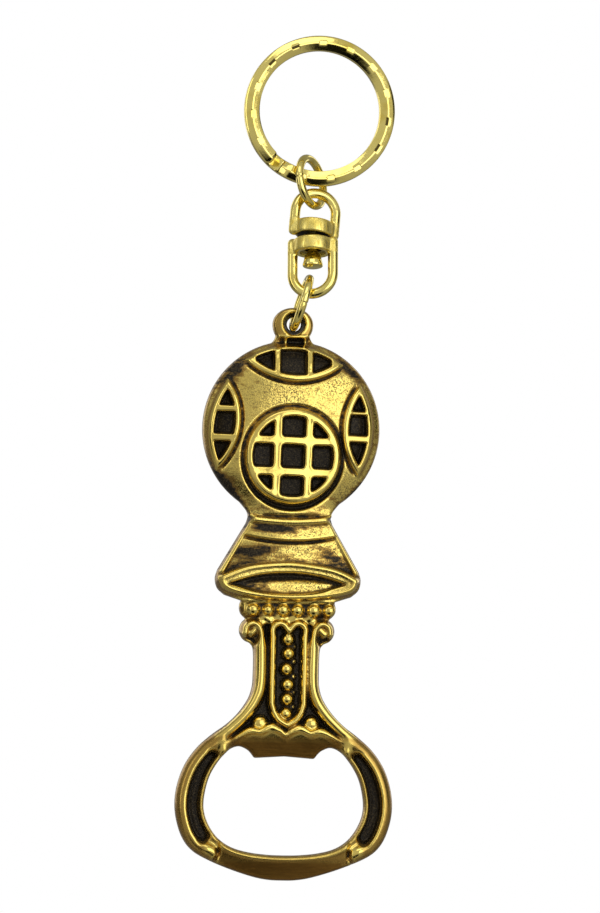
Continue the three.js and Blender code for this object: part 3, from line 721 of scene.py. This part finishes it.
def wear_and_shade_values(x, y, height, edge):
    """How sunk, exposed, brushed, mottled and sloped each grid point is, with painted shade added round
    the eye's hole.
    """
    capped = np.where(edge < 0, height, np.minimum(height, PLATE))
    sunk = np.maximum(blurred(capped, 1.1) - capped, 0.9 * (blurred(capped, 0.5) - capped))
    sunk = np.maximum(sunk, 0.9 * (blurred(capped, 2.6) - capped))
    depth = np.clip(-edge, 0, None)
    rim = near(depth, 1.5)
    sunk = sunk * (1 - 0.7 * rim)
    for cx, cy, width, length, degrees, amount in STAINS:
        lean = math.radians(degrees)
        along = (x - cx) * math.cos(lean) + (y - cy) * math.sin(lean)
        beside = (y - cy) * math.cos(lean) - (x - cx) * math.sin(lean)
        sunk = sunk + amount * near(along, length) * near(beside, width)
    rounded = height - rounding(depth, FRONT_EDGE)
    slope_x, slope_y = np.gradient(rounded, GRID)
    slope = np.clip(np.hypot(slope_x, slope_y) / 3, 0, 1) * (1 - 0.35 * rim)
    for bx, by, radius, _, _ in BEADS:
        bead = inside(np.hypot(x - bx, y - by) - 0.85 * radius, 0.5)
        slope = slope * (1 - 0.75 * bead)
        sunk = sunk - 0.6 * bead
    eye = inside(-(y + 2.6), 0.6)
    slope = np.maximum(slope, 0.42 * eye)
    loop = inside(y + 82.0, 2.0)
    slope = np.maximum(slope, 0.5 * loop)
    # Partly rubbing and partly a painted highlight: these spots lose film and dark, so they show clean
    # bright brass.
    for cx, cy, radius in WORN_AND_HIGHLIT_SPOTS:
        worn_and_highlit = near(np.hypot(np.abs(x) - cx, y - cy), radius)
        slope = slope * (1 - worn_and_highlit)
        sunk = sunk - 1.2 * worn_and_highlit
        loop = loop * (1 - worn_and_highlit)
    dish = np.hypot(x - EYE_DISH[0], y - EYE_DISH[1]) - EYE_DISH[2]
    # Painted shade: the countersink round the eye's hole is made fully dark and kept from showing worn
    # brass.
    sunk = sunk + 3 * inside(dish + 0.2, 0.3)
    crest = capped - blurred(capped, 0.4)
    crest = np.where(dish < 0.1, 0, crest) * (1 - 0.5 * loop)
    tooth = (y < LOOP_TOP) & (y > -87.2) & (np.abs(x) < 11.5)
    bar = (y < -106.6) & (np.abs(x) < 12.6)
    brushed = np.maximum(blurred((tooth | bar).astype(float), 0.5), 0.5 * loop * rim)
    helmet = inside(np.hypot(x, y - HELMET_Y) - HELMET_R, 1.0) * (y < -4.5)
    plain = inside(np.abs(height - helmet_height(x, y)) - 0.35, 0.3)
    apron = inside(np.abs(y + 46) - 9, 1.0)
    return (np.clip(0.5 + sunk / 3, 0, 1), np.clip(0.5 + crest / 0.8, 0, 1), brushed,
            np.maximum(helmet * plain, apron), slope)


def make_opener(material):
    """The casting, stood up so that its front faces the viewer."""
    points, faces, wear_and_shade = opener_surface()
    placed_points = np.column_stack([points[:, 0], -points[:, 2], points[:, 1]]) + OPENER_ORIGIN
    piece = make_piece("opener_casting", placed_points, faces, material, "opener",
                       "opener_body")
    mark_wear_and_shade(piece, wear_and_shade[:, :4])
    slope = piece.data.attributes.new("slope", "FLOAT", "POINT")
    slope.data.foreach_set("value", wear_and_shade[:, 4])
    return piece


# ---- Chain: split ring, two jump rings, a swivel of two shackles and a rivet ----

SPLIT_RING_RADIUS = 13.6          # to the middle of its wire
TURN_RISE = 0.925                 # each turn's distance from the plane between the two
START_ANGLE = 228                 # where the wire's visible end lies, in degrees
JOG_START, JOG_LENGTH = 342, 18   # degrees along the wire where it crosses to the second turn
FACE_CHANGE = 352                 # and where the show face changes to the wire's other side
UNCUT = (340, 364)                # degrees along the wire that no flat is cut in
RIDGE_OFFSET = 0.05               # the show face's ridge lies just outside the wire's middle
FLATS = 15
FLAT_OFFSET, FLAT_SHARE = 4.5, 0.28       # the first one's place, and their share of the ridge
# These flats are painted near black, a painted dark reflection.
PAINTED_DARK_FLATS = (4, 5, 13, 14)  # counted round the split ring from the viewer's right
DRUM_RADIUS, DRUM_HALF = 3.85, 1.425      # the swivel's drums, and half their height
DISH_RADIUS, DISH_FLOOR = 2.6, 0.925      # the dish in their inner faces


def ring_section(flat):
    """The split ring's wire in section, as (outward, toward its show face): two flanks and a ridge."""
    cut_height = 0.68
    outline = []
    for outwards, height in ((1.5, 0.06), (1.47, 0.17), (1.38, 0.27), (0.9, 0.479), (0.42, 0.687),
                             (0.28, 0.748), (0.2, 0.775), (0.1, 0.794), (0.0, 0.794), (-0.1, 0.775),
                             (-0.18, 0.748), (-0.32, 0.687), (-0.8, 0.479), (-1.33, 0.25),
                             (-1.46, 0.16), (-1.5, 0.06)):
        if flat and abs(outwards - RIDGE_OFFSET) < 0.4:
            height = cut_height
        outline.append((outwards, height))
    outline += [(-1.5, -0.3), (-1.38, -0.62), (-1.1, -0.8), (1.1, -0.8), (1.38, -0.62), (1.5, -0.3)]
    return outline


def make_split_ring(material):
    """Two turns of flattened wire, its show faces roofed and cut with small flats all round."""
    steps = 1080
    rings, wear_and_shade = [], []
    for i in range(steps + 1):
        turned = 720 * i / steps
        angle = math.radians(START_ANGLE - turned)
        jog = min(max((turned - JOG_START) / JOG_LENGTH, 0), 1)
        jog = jog * jog * (3 - 2 * jog)
        level = TURN_RISE * (2 * jog - 1)
        number, spot = divmod((math.degrees(angle) % 360 - FLAT_OFFSET) / 360 * FLATS, 1)
        flat = abs(spot - 0.5) < FLAT_SHARE / 2 and not UNCUT[0] < turned < UNCUT[1]
        facing = -1 if turned < FACE_CHANGE else 1
        narrowed = 0.45 + 0.55 * math.sqrt(min(1, min(i, steps - i) / 5))
        ring = []
        for outwards, along in ring_section(flat):
            radius = SPLIT_RING_RADIUS + outwards * narrowed
            depth = level + facing * along * narrowed
            ring.append((radius * math.cos(angle), depth, radius * math.sin(angle)))
            on_ridge = abs(outwards - RIDGE_OFFSET) < 0.3 and along > 0
            # The ridges of the chosen flats are painted near black: painted dark reflections.
            painted_dark_flat = flat and on_ridge and number in PAINTED_DARK_FLATS
            wear_and_shade.append((0.95 if painted_dark_flat else 0.0, 0.0, 0.0, 0.0))
        rings.append(ring)
    points, faces = loft(rings)
    piece = make_piece("split_ring_wire", points + SPLIT_RING_CENTRE, faces, material, "split_ring",
                       "split_ring", 28)
    mark_wear_and_shade(piece, wear_and_shade)
    return piece


def make_jump_ring(name, ring, node, body, material):
    """Round wire bent into a ring, its two sheared ends almost meeting."""
    wire_radius, sides, steps = 0.825, 28, 150
    normal = Vector(ring["normal"]).normalized()
    up = (Vector((0, 0, 1)) - normal * normal.z).normalized()
    across = up.cross(normal)
    gap = 0.06 / ring["radius"]
    start = math.radians(ring["cut"]) + gap / 2
    ends = [0.0, 0.004, 0.012]
    spread = ends + list(np.linspace(0.025, 0.975, steps)) + [1 - e for e in reversed(ends)]
    widths = [0.9, 0.97, 0.99] + [1.0] * steps + [0.99, 0.97, 0.9]
    rings = []
    for share, width in zip(spread, widths):
        angle = start + share * (2 * math.pi - gap)
        out = across * math.cos(angle) + up * math.sin(angle)
        section = []
        for j in range(sides):
            turn = 2 * math.pi * j / sides
            shift = out * math.cos(turn) + normal * math.sin(turn)
            section.append(out * ring["radius"] + shift * wire_radius * width)
        rings.append(section)
    points, faces = loft(rings)
    return make_piece(name, points + ring["centre"], faces, material, body, node, 40)


def piece_rotation(part, turn=None):
    """The part's own +Z leaned along its `up`, after a turn about itself; flipped pieces hang down."""
    up = Vector(part["up"]).normalized()
    lean = Vector((0, 0, 1)).rotation_difference(up)
    own_turn = Quaternion((0, 0, 1), math.radians(part["turn"] if turn is None else turn))
    over = Quaternion((0, 1, 0), math.pi if part["flip"] and turn is None else 0)
    return lean @ own_turn @ over


def make_shackle(name, part, node, body, material):
    """A U of round bar blending into a bored drum with a dished inner face."""
    bar, half_width, bore, corner = 1.02, 4.1, 1.65, 0.35
    step, start = 0.13, (-5.5, -4.3, -1.9)
    x, y, z = np.meshgrid(np.arange(start[0], 5.6, step), np.arange(start[1], 4.4, step),
                          np.arange(start[2], part["reach"] + 1.6, step), indexing="ij")
    straight = part["reach"] - half_width
    crown = np.hypot(np.hypot(x, np.clip(z - straight, 0, None)) - half_width, y)
    leg = np.hypot(np.hypot(np.abs(x) - half_width, y), np.clip(-0.75 - z, 0, None))
    wire = np.where(z > straight, crown, leg) - bar
    radial = np.hypot(x, y)
    waist = 0.1 * (z / DRUM_HALF) ** 2
    side, flat = radial - DRUM_RADIUS + waist + corner, np.abs(z) - DRUM_HALF + corner
    drum = np.hypot(np.clip(side, 0, None), np.clip(flat, 0, None)) - corner
    drum = drum + np.minimum(np.maximum(side, flat), 0)
    recess = np.maximum(radial - DISH_RADIUS, DISH_FLOOR - z)
    drum = smooth_max(smooth_max(drum, bore - radial, 0.12), -recess, 0.15)
    shape = smooth_min(wire, drum, 0.7)
    points, faces = surface_net(shape, start, step)
    from_axis, level = np.hypot(points[:, 0], points[:, 1]), points[:, 2]
    # Painted shade: the drum faces that meet between the two drums, and the dishes round the rivet's
    # head and crown, are painted near black.
    outer_face = inside(from_axis - 3.3, 0.4) * inside(level + DRUM_HALF - 0.1, 0.1)
    dished = inside(from_axis - DISH_RADIUS, 0.3) * inside(np.abs(level) - DRUM_HALF, 0.2)
    painted_dark = np.maximum(outer_face, 0.65 * dished)
    satin = inside(2.9 - from_axis, 0.5) * inside(np.abs(level) - DRUM_HALF - 0.3, 0.3)
    wear_and_shade = np.column_stack([painted_dark, satin, 0 * level, 0 * level])
    points = placed(points, piece_rotation(part), part["centre"])
    piece = make_piece(name, points, faces, material, body, node)
    mark_wear_and_shade(piece, wear_and_shade)
    return piece


def make_rivet(material):
    """The swivel's pin: a necked head below the lower drum, a formed crown above the upper one."""
    spacing = (Vector(UPPER_SHACKLE["centre"]) - Vector(LOWER_SHACKLE["centre"])).length
    bearing = DISH_FLOOR + 0.3      # from a drum's middle to where the head and the crown start
    head = ((0, 3.1), (1.7, 3.08), (1.95, 2.98), (2.05, 2.78), (2.02, 2.55), (1.62, 0.95), (1.5, 0.75),
            (1.25, 0.65), (1.2, 0.25), (1.08, 0.12))
    crown = ((1.08, 0), (2.05, 0), (2.08, 0.12), (1.98, 0.3), (1.7, 0.45), (1.2, 0.53), (0, 0.55))
    profile = [(radius, -bearing - drop) for radius, drop in head]
    profile += [(radius, spacing + bearing + rise) for radius, rise in crown]
    points, faces = revolve(profile)
    points = placed(points, piece_rotation(LOWER_SHACKLE, 0), LOWER_SHACKLE["centre"])
    return make_piece("swivel_pin", points, faces, material, "upper_swivel",
                      "swivel_rivet", 40)


# ---- Materials ----

# The third colour, near black, is painted shade between the swivel's drums and in their dishes, and
# painted dark reflections on a few of the split ring's flats.
BRIGHT_GOLD, DULL_GOLD, PAINTED_DARK_TONE = (0.93, 0.77, 0.23, 1), (0.82, 0.63, 0.13, 1), (0.03, 0.018, 0.006, 1)
BRIGHT_BRASS, DULL_BRASS = (0.93, 0.74, 0.20, 1), (0.72, 0.51, 0.11, 1)
LIGHT_FILM, DARK_FILM = (0.36, 0.2, 0.04, 1), (0.22, 0.11, 0.02, 1)
WORKED_DARK, WORKED_LIGHT = (0.16, 0.078, 0.013, 1), (0.27, 0.14, 0.026, 1)
# Near black and dark grainy brown: patina in the casting's hollows, and painted shade inside the eye's
# hole and on its countersink.
PATINA_AND_SHADE, PATINA_AND_SHADE_GRAIN = (0.006, 0.004, 0.002, 1), (0.06, 0.044, 0.02, 1)
FLOOR_LIGHT, FLOOR_DARK = (0.86, 0.86, 0.86, 1), (0.82, 0.82, 0.82, 1)
WHITE = (1, 1, 1, 1)


class Nodes:
    """Adds shader nodes to one tree. An input given as a socket is linked, any other value is set."""

    def __init__(self, tree):
        self.tree = tree

    def fill(self, node, inputs):
        """Sets a node's inputs."""
        for key, value in inputs.items():
            if isinstance(value, bpy.types.NodeSocket):
                self.tree.links.new(value, node.inputs[key])
            else:
                node.inputs[key].default_value = value
        return node

    def put(self, kind, inputs, **settings):
        """Adds a node with these inputs and settings."""
        made = self.tree.nodes.new("ShaderNode" + kind)
        for name, value in settings.items():
            setattr(made, name, value)
        return self.fill(made, inputs)

    def calc(self, operation, a, b):
        return self.put("Math", {0: a, 1: b}, operation=operation).outputs[0]

    def plus(self, a, b):
        return self.calc("ADD", a, b)

    def minus(self, a, b):
        return self.calc("SUBTRACT", a, b)

    def times(self, a, b):
        return self.calc("MULTIPLY", a, b)

    def larger(self, a, b):
        return self.calc("MAXIMUM", a, b)

    def ramp(self, value, low, high, to_low=0.0, to_high=1.0):
        """Maps a value from one range to another, with smooth ends."""
        inputs = {0: value, 1: low, 2: high, 3: to_low, 4: to_high}
        return self.put("MapRange", inputs, interpolation_type="SMOOTHSTEP").outputs[0]

    def mix(self, factor, a, b):
        """Blends two colours."""
        return self.put("Mix", {0: factor, 6: a, 7: b}, data_type="RGBA").outputs[2]

    def noise(self, where, scale, detail=2.0, roughness=0.5):
        """Noise whose features are `scale` to the metre."""
        inputs = {"Vector": where, "Scale": scale, "Detail": detail, "Roughness": roughness}
        return self.put("TexNoise", inputs).outputs["Fac"]

    def stretched(self, where, x, y, z):
        """Coordinates scaled, so that a pattern on them is drawn out along the least-scaled axis."""
        return self.put("VectorMath", {0: where, 1: (x, y, z)}, operation="MULTIPLY").outputs[0]

    def dot(self, where, toward):
        return self.put("VectorMath", {0: where, 1: toward}, operation="DOT_PRODUCT").outputs["Value"]

    def bump(self, height, strength, distance):
        inputs = {"Strength": strength, "Distance": distance, "Height": height}
        return self.put("Bump", inputs).outputs[0]

    def wear_and_shade(self):
        """The four values stored on a piece: marks of use and age, and painted shade."""
        stored = self.put("Attribute", {}, attribute_name="wear_and_shade")
        split = self.put("SeparateColor", {0: stored.outputs["Color"]})
        return *split.outputs, stored.outputs["Alpha"]


def metal(name):
    """A new material, with its helper, its shader and the object's own coordinates."""
    material = bpy.data.materials.new(name)
    material.use_nodes = True
    nodes = Nodes(material.node_tree)
    where = nodes.put("TexCoord", {}).outputs["Object"]
    return material, nodes, material.node_tree.nodes["Principled BSDF"], where


def gold_plate():
    """Bright plating with faint tarnish; satin on the swivel's drums; painted shade near black between
    the drums and in their dishes, and painted dark reflections on a few of the split ring's flats.
    """
    material, nodes, shader, where = metal("gold_plate")
    painted_dark, satin, _, _ = nodes.wear_and_shade()
    tarnish = nodes.ramp(nodes.noise(where, 260, 3), 0.45, 0.75)
    lines = nodes.ramp(nodes.noise(nodes.stretched(where, 6, 6, 1), 420, 3, 0.7), 0.4, 0.65)
    tarnish = nodes.larger(tarnish, nodes.times(satin, lines))
    colour = nodes.mix(tarnish, BRIGHT_GOLD, DULL_GOLD)
    # Near black where a piece marks painted shade or a painted dark reflection.
    colour = nodes.mix(painted_dark, colour, PAINTED_DARK_TONE)
    marks = nodes.noise(nodes.stretched(where, 1, 1, 6), 900, 3, 0.6)
    rough = nodes.ramp(marks, 0.35, 0.75, 0.08, 0.2)
    brushing = nodes.plus(0.25, nodes.times(lines, 0.3))
    rough = nodes.larger(rough, nodes.times(satin, brushing))
    rough = nodes.larger(rough, nodes.times(painted_dark, 0.5))
    ripple = nodes.plus(nodes.noise(where, 1500, 2), nodes.times(lines, satin))
    nodes.fill(shader, {"Base Color": colour, "Roughness": rough, "Metallic": 1.0,
                        "Normal": nodes.bump(ripple, 0.09, 0.00012)})
    return material


def antique_brass():
    """Worn bright brass over brown film and dark tarnish in the hollows, brushed on the working faces.
    The dark colour is also painted shade in the eye's hole, and spots on the loop's hump and scroll are
    brightened, partly as a painted highlight.
    """
    material, nodes, shader, where = metal("antique_brass")
    sunk, crest, brushed, mottled = nodes.wear_and_shade()
    slope = nodes.put("Attribute", {}, attribute_name="slope").outputs["Fac"]

    clouds = nodes.noise(where, 190, 3)
    patches = nodes.noise(where, 130, 3)
    speckle = nodes.noise(where, 4200, 2, 0.6)
    streaks = nodes.noise(nodes.stretched(where, 1, 1, 2.5), 450, 5, 0.7)
    strokes = nodes.noise(nodes.stretched(where, 1, 1, 12), 260, 3, 0.7)

    ragged = nodes.plus(sunk, nodes.times(nodes.minus(streaks, 0.5), 0.4))
    ragged = nodes.minus(ragged, nodes.times(brushed, 0.15))
    # Dark where sunk: patina in the hollows, and painted shade in the eye's hole and its countersink.
    hollow = nodes.ramp(ragged, 0.55, 0.65)
    spotty = nodes.times(mottled, nodes.ramp(patches, 0.35, 0.65, 0.55, 1.0))
    low_spots = nodes.times(nodes.ramp(speckle, 0.48, 0.58), spotty)
    worn = nodes.ramp(crest, 0.53, 0.68)
    unworn = nodes.minus(1.0, worn)
    patina_and_shade = nodes.larger(hollow, nodes.times(low_spots, 0.9))
    patina_and_shade = nodes.times(patina_and_shade, unworn)

    sloping = nodes.ramp(slope, 0.14, 0.52, 0.0, 0.9)
    shallow = nodes.ramp(ragged, 0.5, 0.58, 0.0, 0.9)
    film = nodes.larger(sloping, shallow)
    film = nodes.larger(nodes.times(film, unworn), brushed)
    clean = nodes.mix(clouds, BRIGHT_BRASS, DULL_BRASS)
    brown = nodes.mix(clouds, LIGHT_FILM, DARK_FILM)
    worked = nodes.mix(strokes, WORKED_DARK, WORKED_LIGHT)
    brown = nodes.mix(brushed, brown, worked)
    grain = nodes.ramp(speckle, 0.45, 0.7)
    dark = nodes.mix(grain, PATINA_AND_SHADE, PATINA_AND_SHADE_GRAIN)
    colour = nodes.mix(patina_and_shade, nodes.mix(film, clean, brown), dark)
    dulled = nodes.larger(nodes.times(patina_and_shade, 0.6), nodes.times(film, 0.12))
    rough = nodes.plus(nodes.ramp(clouds, 0.3, 0.7, 0.12, 0.2), nodes.times(dulled, 0.5))
    rough = nodes.plus(rough, nodes.times(brushed, 0.1))

    pits = nodes.times(speckle, nodes.times(mottled, 0.12))
    lines = nodes.times(strokes, nodes.times(brushed, 0.25))
    relief = nodes.plus(pits, nodes.plus(lines, nodes.times(clouds, 0.8)))
    nodes.fill(shader, {"Base Color": colour, "Roughness": rough, "Specular IOR Level": 0.25,
                        "Metallic": nodes.minus(1.0, dulled),
                        "Normal": nodes.bump(relief, 0.8, 0.00025)})
    return material


def pale_floor():
    """A matt, nearly white floor, very faintly uneven."""
    material, nodes, shader, where = metal("floor")
    shade = nodes.mix(nodes.noise(where, 6, 2), FLOOR_LIGHT, FLOOR_DARK)
    nodes.fill(shader, {"Base Color": shade, "Roughness": 0.9})
    return material


# ---- Studio and camera ----

FLOOR_LEVEL, FLOOR_RADIUS = -0.215, 0.6
# Dark patches of the surroundings: azimuth, elevation and angular radius in degrees
DARK_PANELS = ((-8, -46, 20), (-34, -38, 14), (78, 12, 14), (-82, -5, 14))
PANEL_EDGE = 6                    # half the width of a panel's soft edge, in degrees
SUBJECT = Vector((-0.0025, 0.0, -0.0814))
CAMERA_DISTANCE = 1.3
FRAME_HEIGHT = 0.1826
SENSOR = 36.0
CAMERA_LEFT, CAMERA_BELOW, CAMERA_ROLL = 5.5, 2.0, 1.17     # degrees


def direction(azimuth, elevation):
    """From the object: azimuth 0 is toward the viewer, positive to the viewer's right."""
    a, e = math.radians(azimuth), math.radians(elevation)
    return Vector((math.sin(a) * math.cos(e), -math.cos(a) * math.cos(e), math.sin(e)))


def softbox(name, azimuth, elevation, distance, width, height, brightness, in_reflections=True):
    """A rectangular light facing the object; brightness 1 looks as bright as the white background."""
    light = bpy.data.lights.new(name, "AREA")
    light.shape = "RECTANGLE"
    light.size, light.size_y = width, height
    light.energy = brightness * math.pi * width * height
    lamp = bpy.data.objects.new(name, light)
    toward = direction(azimuth, elevation)
    lamp.location = SUBJECT + toward * distance
    lamp.rotation_mode = "QUATERNION"
    lamp.rotation_quaternion = toward.to_track_quat("Z", "Y")
    lamp.visible_glossy = in_reflections
    bpy.context.scene.collection.objects.link(lamp)


def make_studio():
    """The floor, the surroundings seen in reflections, and the lights."""
    sides = 96
    floor_mesh = bpy.data.meshes.new("floor")
    turns = [2 * math.pi * k / sides for k in range(sides)]
    rim = [(FLOOR_RADIUS * math.cos(turn), FLOOR_RADIUS * math.sin(turn), FLOOR_LEVEL) for turn in turns]
    floor_mesh.from_pydata(rim, [], [list(range(sides))])
    floor_mesh.materials.append(pale_floor())
    floor = bpy.data.objects.new("floor", floor_mesh)
    bpy.context.scene.collection.objects.link(floor)
    floor.visible_glossy = False

    world = bpy.data.worlds.new("studio")
    world.use_nodes = True
    world.node_tree.nodes.clear()
    nodes = Nodes(world.node_tree)
    where = nodes.put("TexCoord", {}).outputs["Generated"]
    height = nodes.put("SeparateXYZ", {0: where}).outputs[2]
    shade = nodes.ramp(height, -0.9, 0.4, 0.38, 0.56)
    for azimuth, elevation, size in DARK_PANELS:
        facing = nodes.dot(where, direction(azimuth, elevation))
        outer, inner = (math.cos(math.radians(size + soft)) for soft in (PANEL_EDGE, -PANEL_EDGE))
        shade = nodes.times(shade, nodes.ramp(facing, outer, inner, 1.0, 0.02))
    forward = nodes.dot(where, (0, -1, 0))
    shade = nodes.times(shade, nodes.ramp(forward, -0.3, 0.5, 0.5, 1.0))
    surround = nodes.put("Background", {"Color": WHITE, "Strength": shade})
    white = nodes.put("Background", {"Color": WHITE, "Strength": 1.0})
    seen = nodes.put("LightPath", {}).outputs["Is Camera Ray"]
    both = nodes.put("MixShader", {0: seen, 1: surround.outputs[0], 2: white.outputs[0]})
    nodes.put("OutputWorld", {"Surface": both.outputs[0]})
    bpy.context.scene.world = world

    softbox("key", 25, 10, 0.7, 0.62, 0.6, 1.45)
    softbox("top", -15, 58, 0.7, 0.5, 0.3, 1.2)
    softbox("left_strip", -66, 12, 0.8, 0.2, 0.6, 1.2)
    softbox("back_left", 215, 15, 0.8, 0.5, 0.6, 0.9)
    softbox("back_right", 140, 15, 0.8, 0.3, 0.6, 0.9)
    softbox("overhead", 0, 88, 0.7, 0.8, 0.8, 4.0, in_reflections=False)


def make_camera():
    """A long lens, a little to the left of the part and below it."""
    toward = direction(-CAMERA_LEFT, -CAMERA_BELOW)
    camera = bpy.data.cameras.new("camera")
    camera.sensor_width = SENSOR
    camera.lens = SENSOR * CAMERA_DISTANCE / FRAME_HEIGHT
    camera.clip_start, camera.clip_end = 0.05, 20
    holder = bpy.data.objects.new("camera", camera)
    holder.location = SUBJECT + toward * CAMERA_DISTANCE
    holder.rotation_mode = "QUATERNION"
    level = toward.to_track_quat("Z", "Y")
    holder.rotation_quaternion = level @ Quaternion((0, 0, 1), math.radians(CAMERA_ROLL))
    bpy.context.scene.collection.objects.link(holder)
    bpy.context.scene.camera = holder


# ---- Assembly ----

brass = antique_brass()
gold = gold_plate()
make_opener(brass)
make_split_ring(gold)
make_jump_ring("upper_jump_ring_wire", UPPER_JUMP_RING, "upper_jump_ring", "upper_jump_ring", gold)
make_jump_ring("lower_jump_ring_wire", LOWER_JUMP_RING, "lower_jump_ring", "lower_jump_ring", gold)
make_shackle("upper_shackle", UPPER_SHACKLE, "swivel_upper_shackle", "upper_swivel", gold)
make_shackle("lower_shackle", LOWER_SHACKLE, "swivel_lower_shackle", "lower_swivel", gold)
make_rivet(gold)
make_studio()
make_camera()

scene = bpy.context.scene
scene.view_settings.view_transform = "Standard"
scene.view_settings.look = "None"
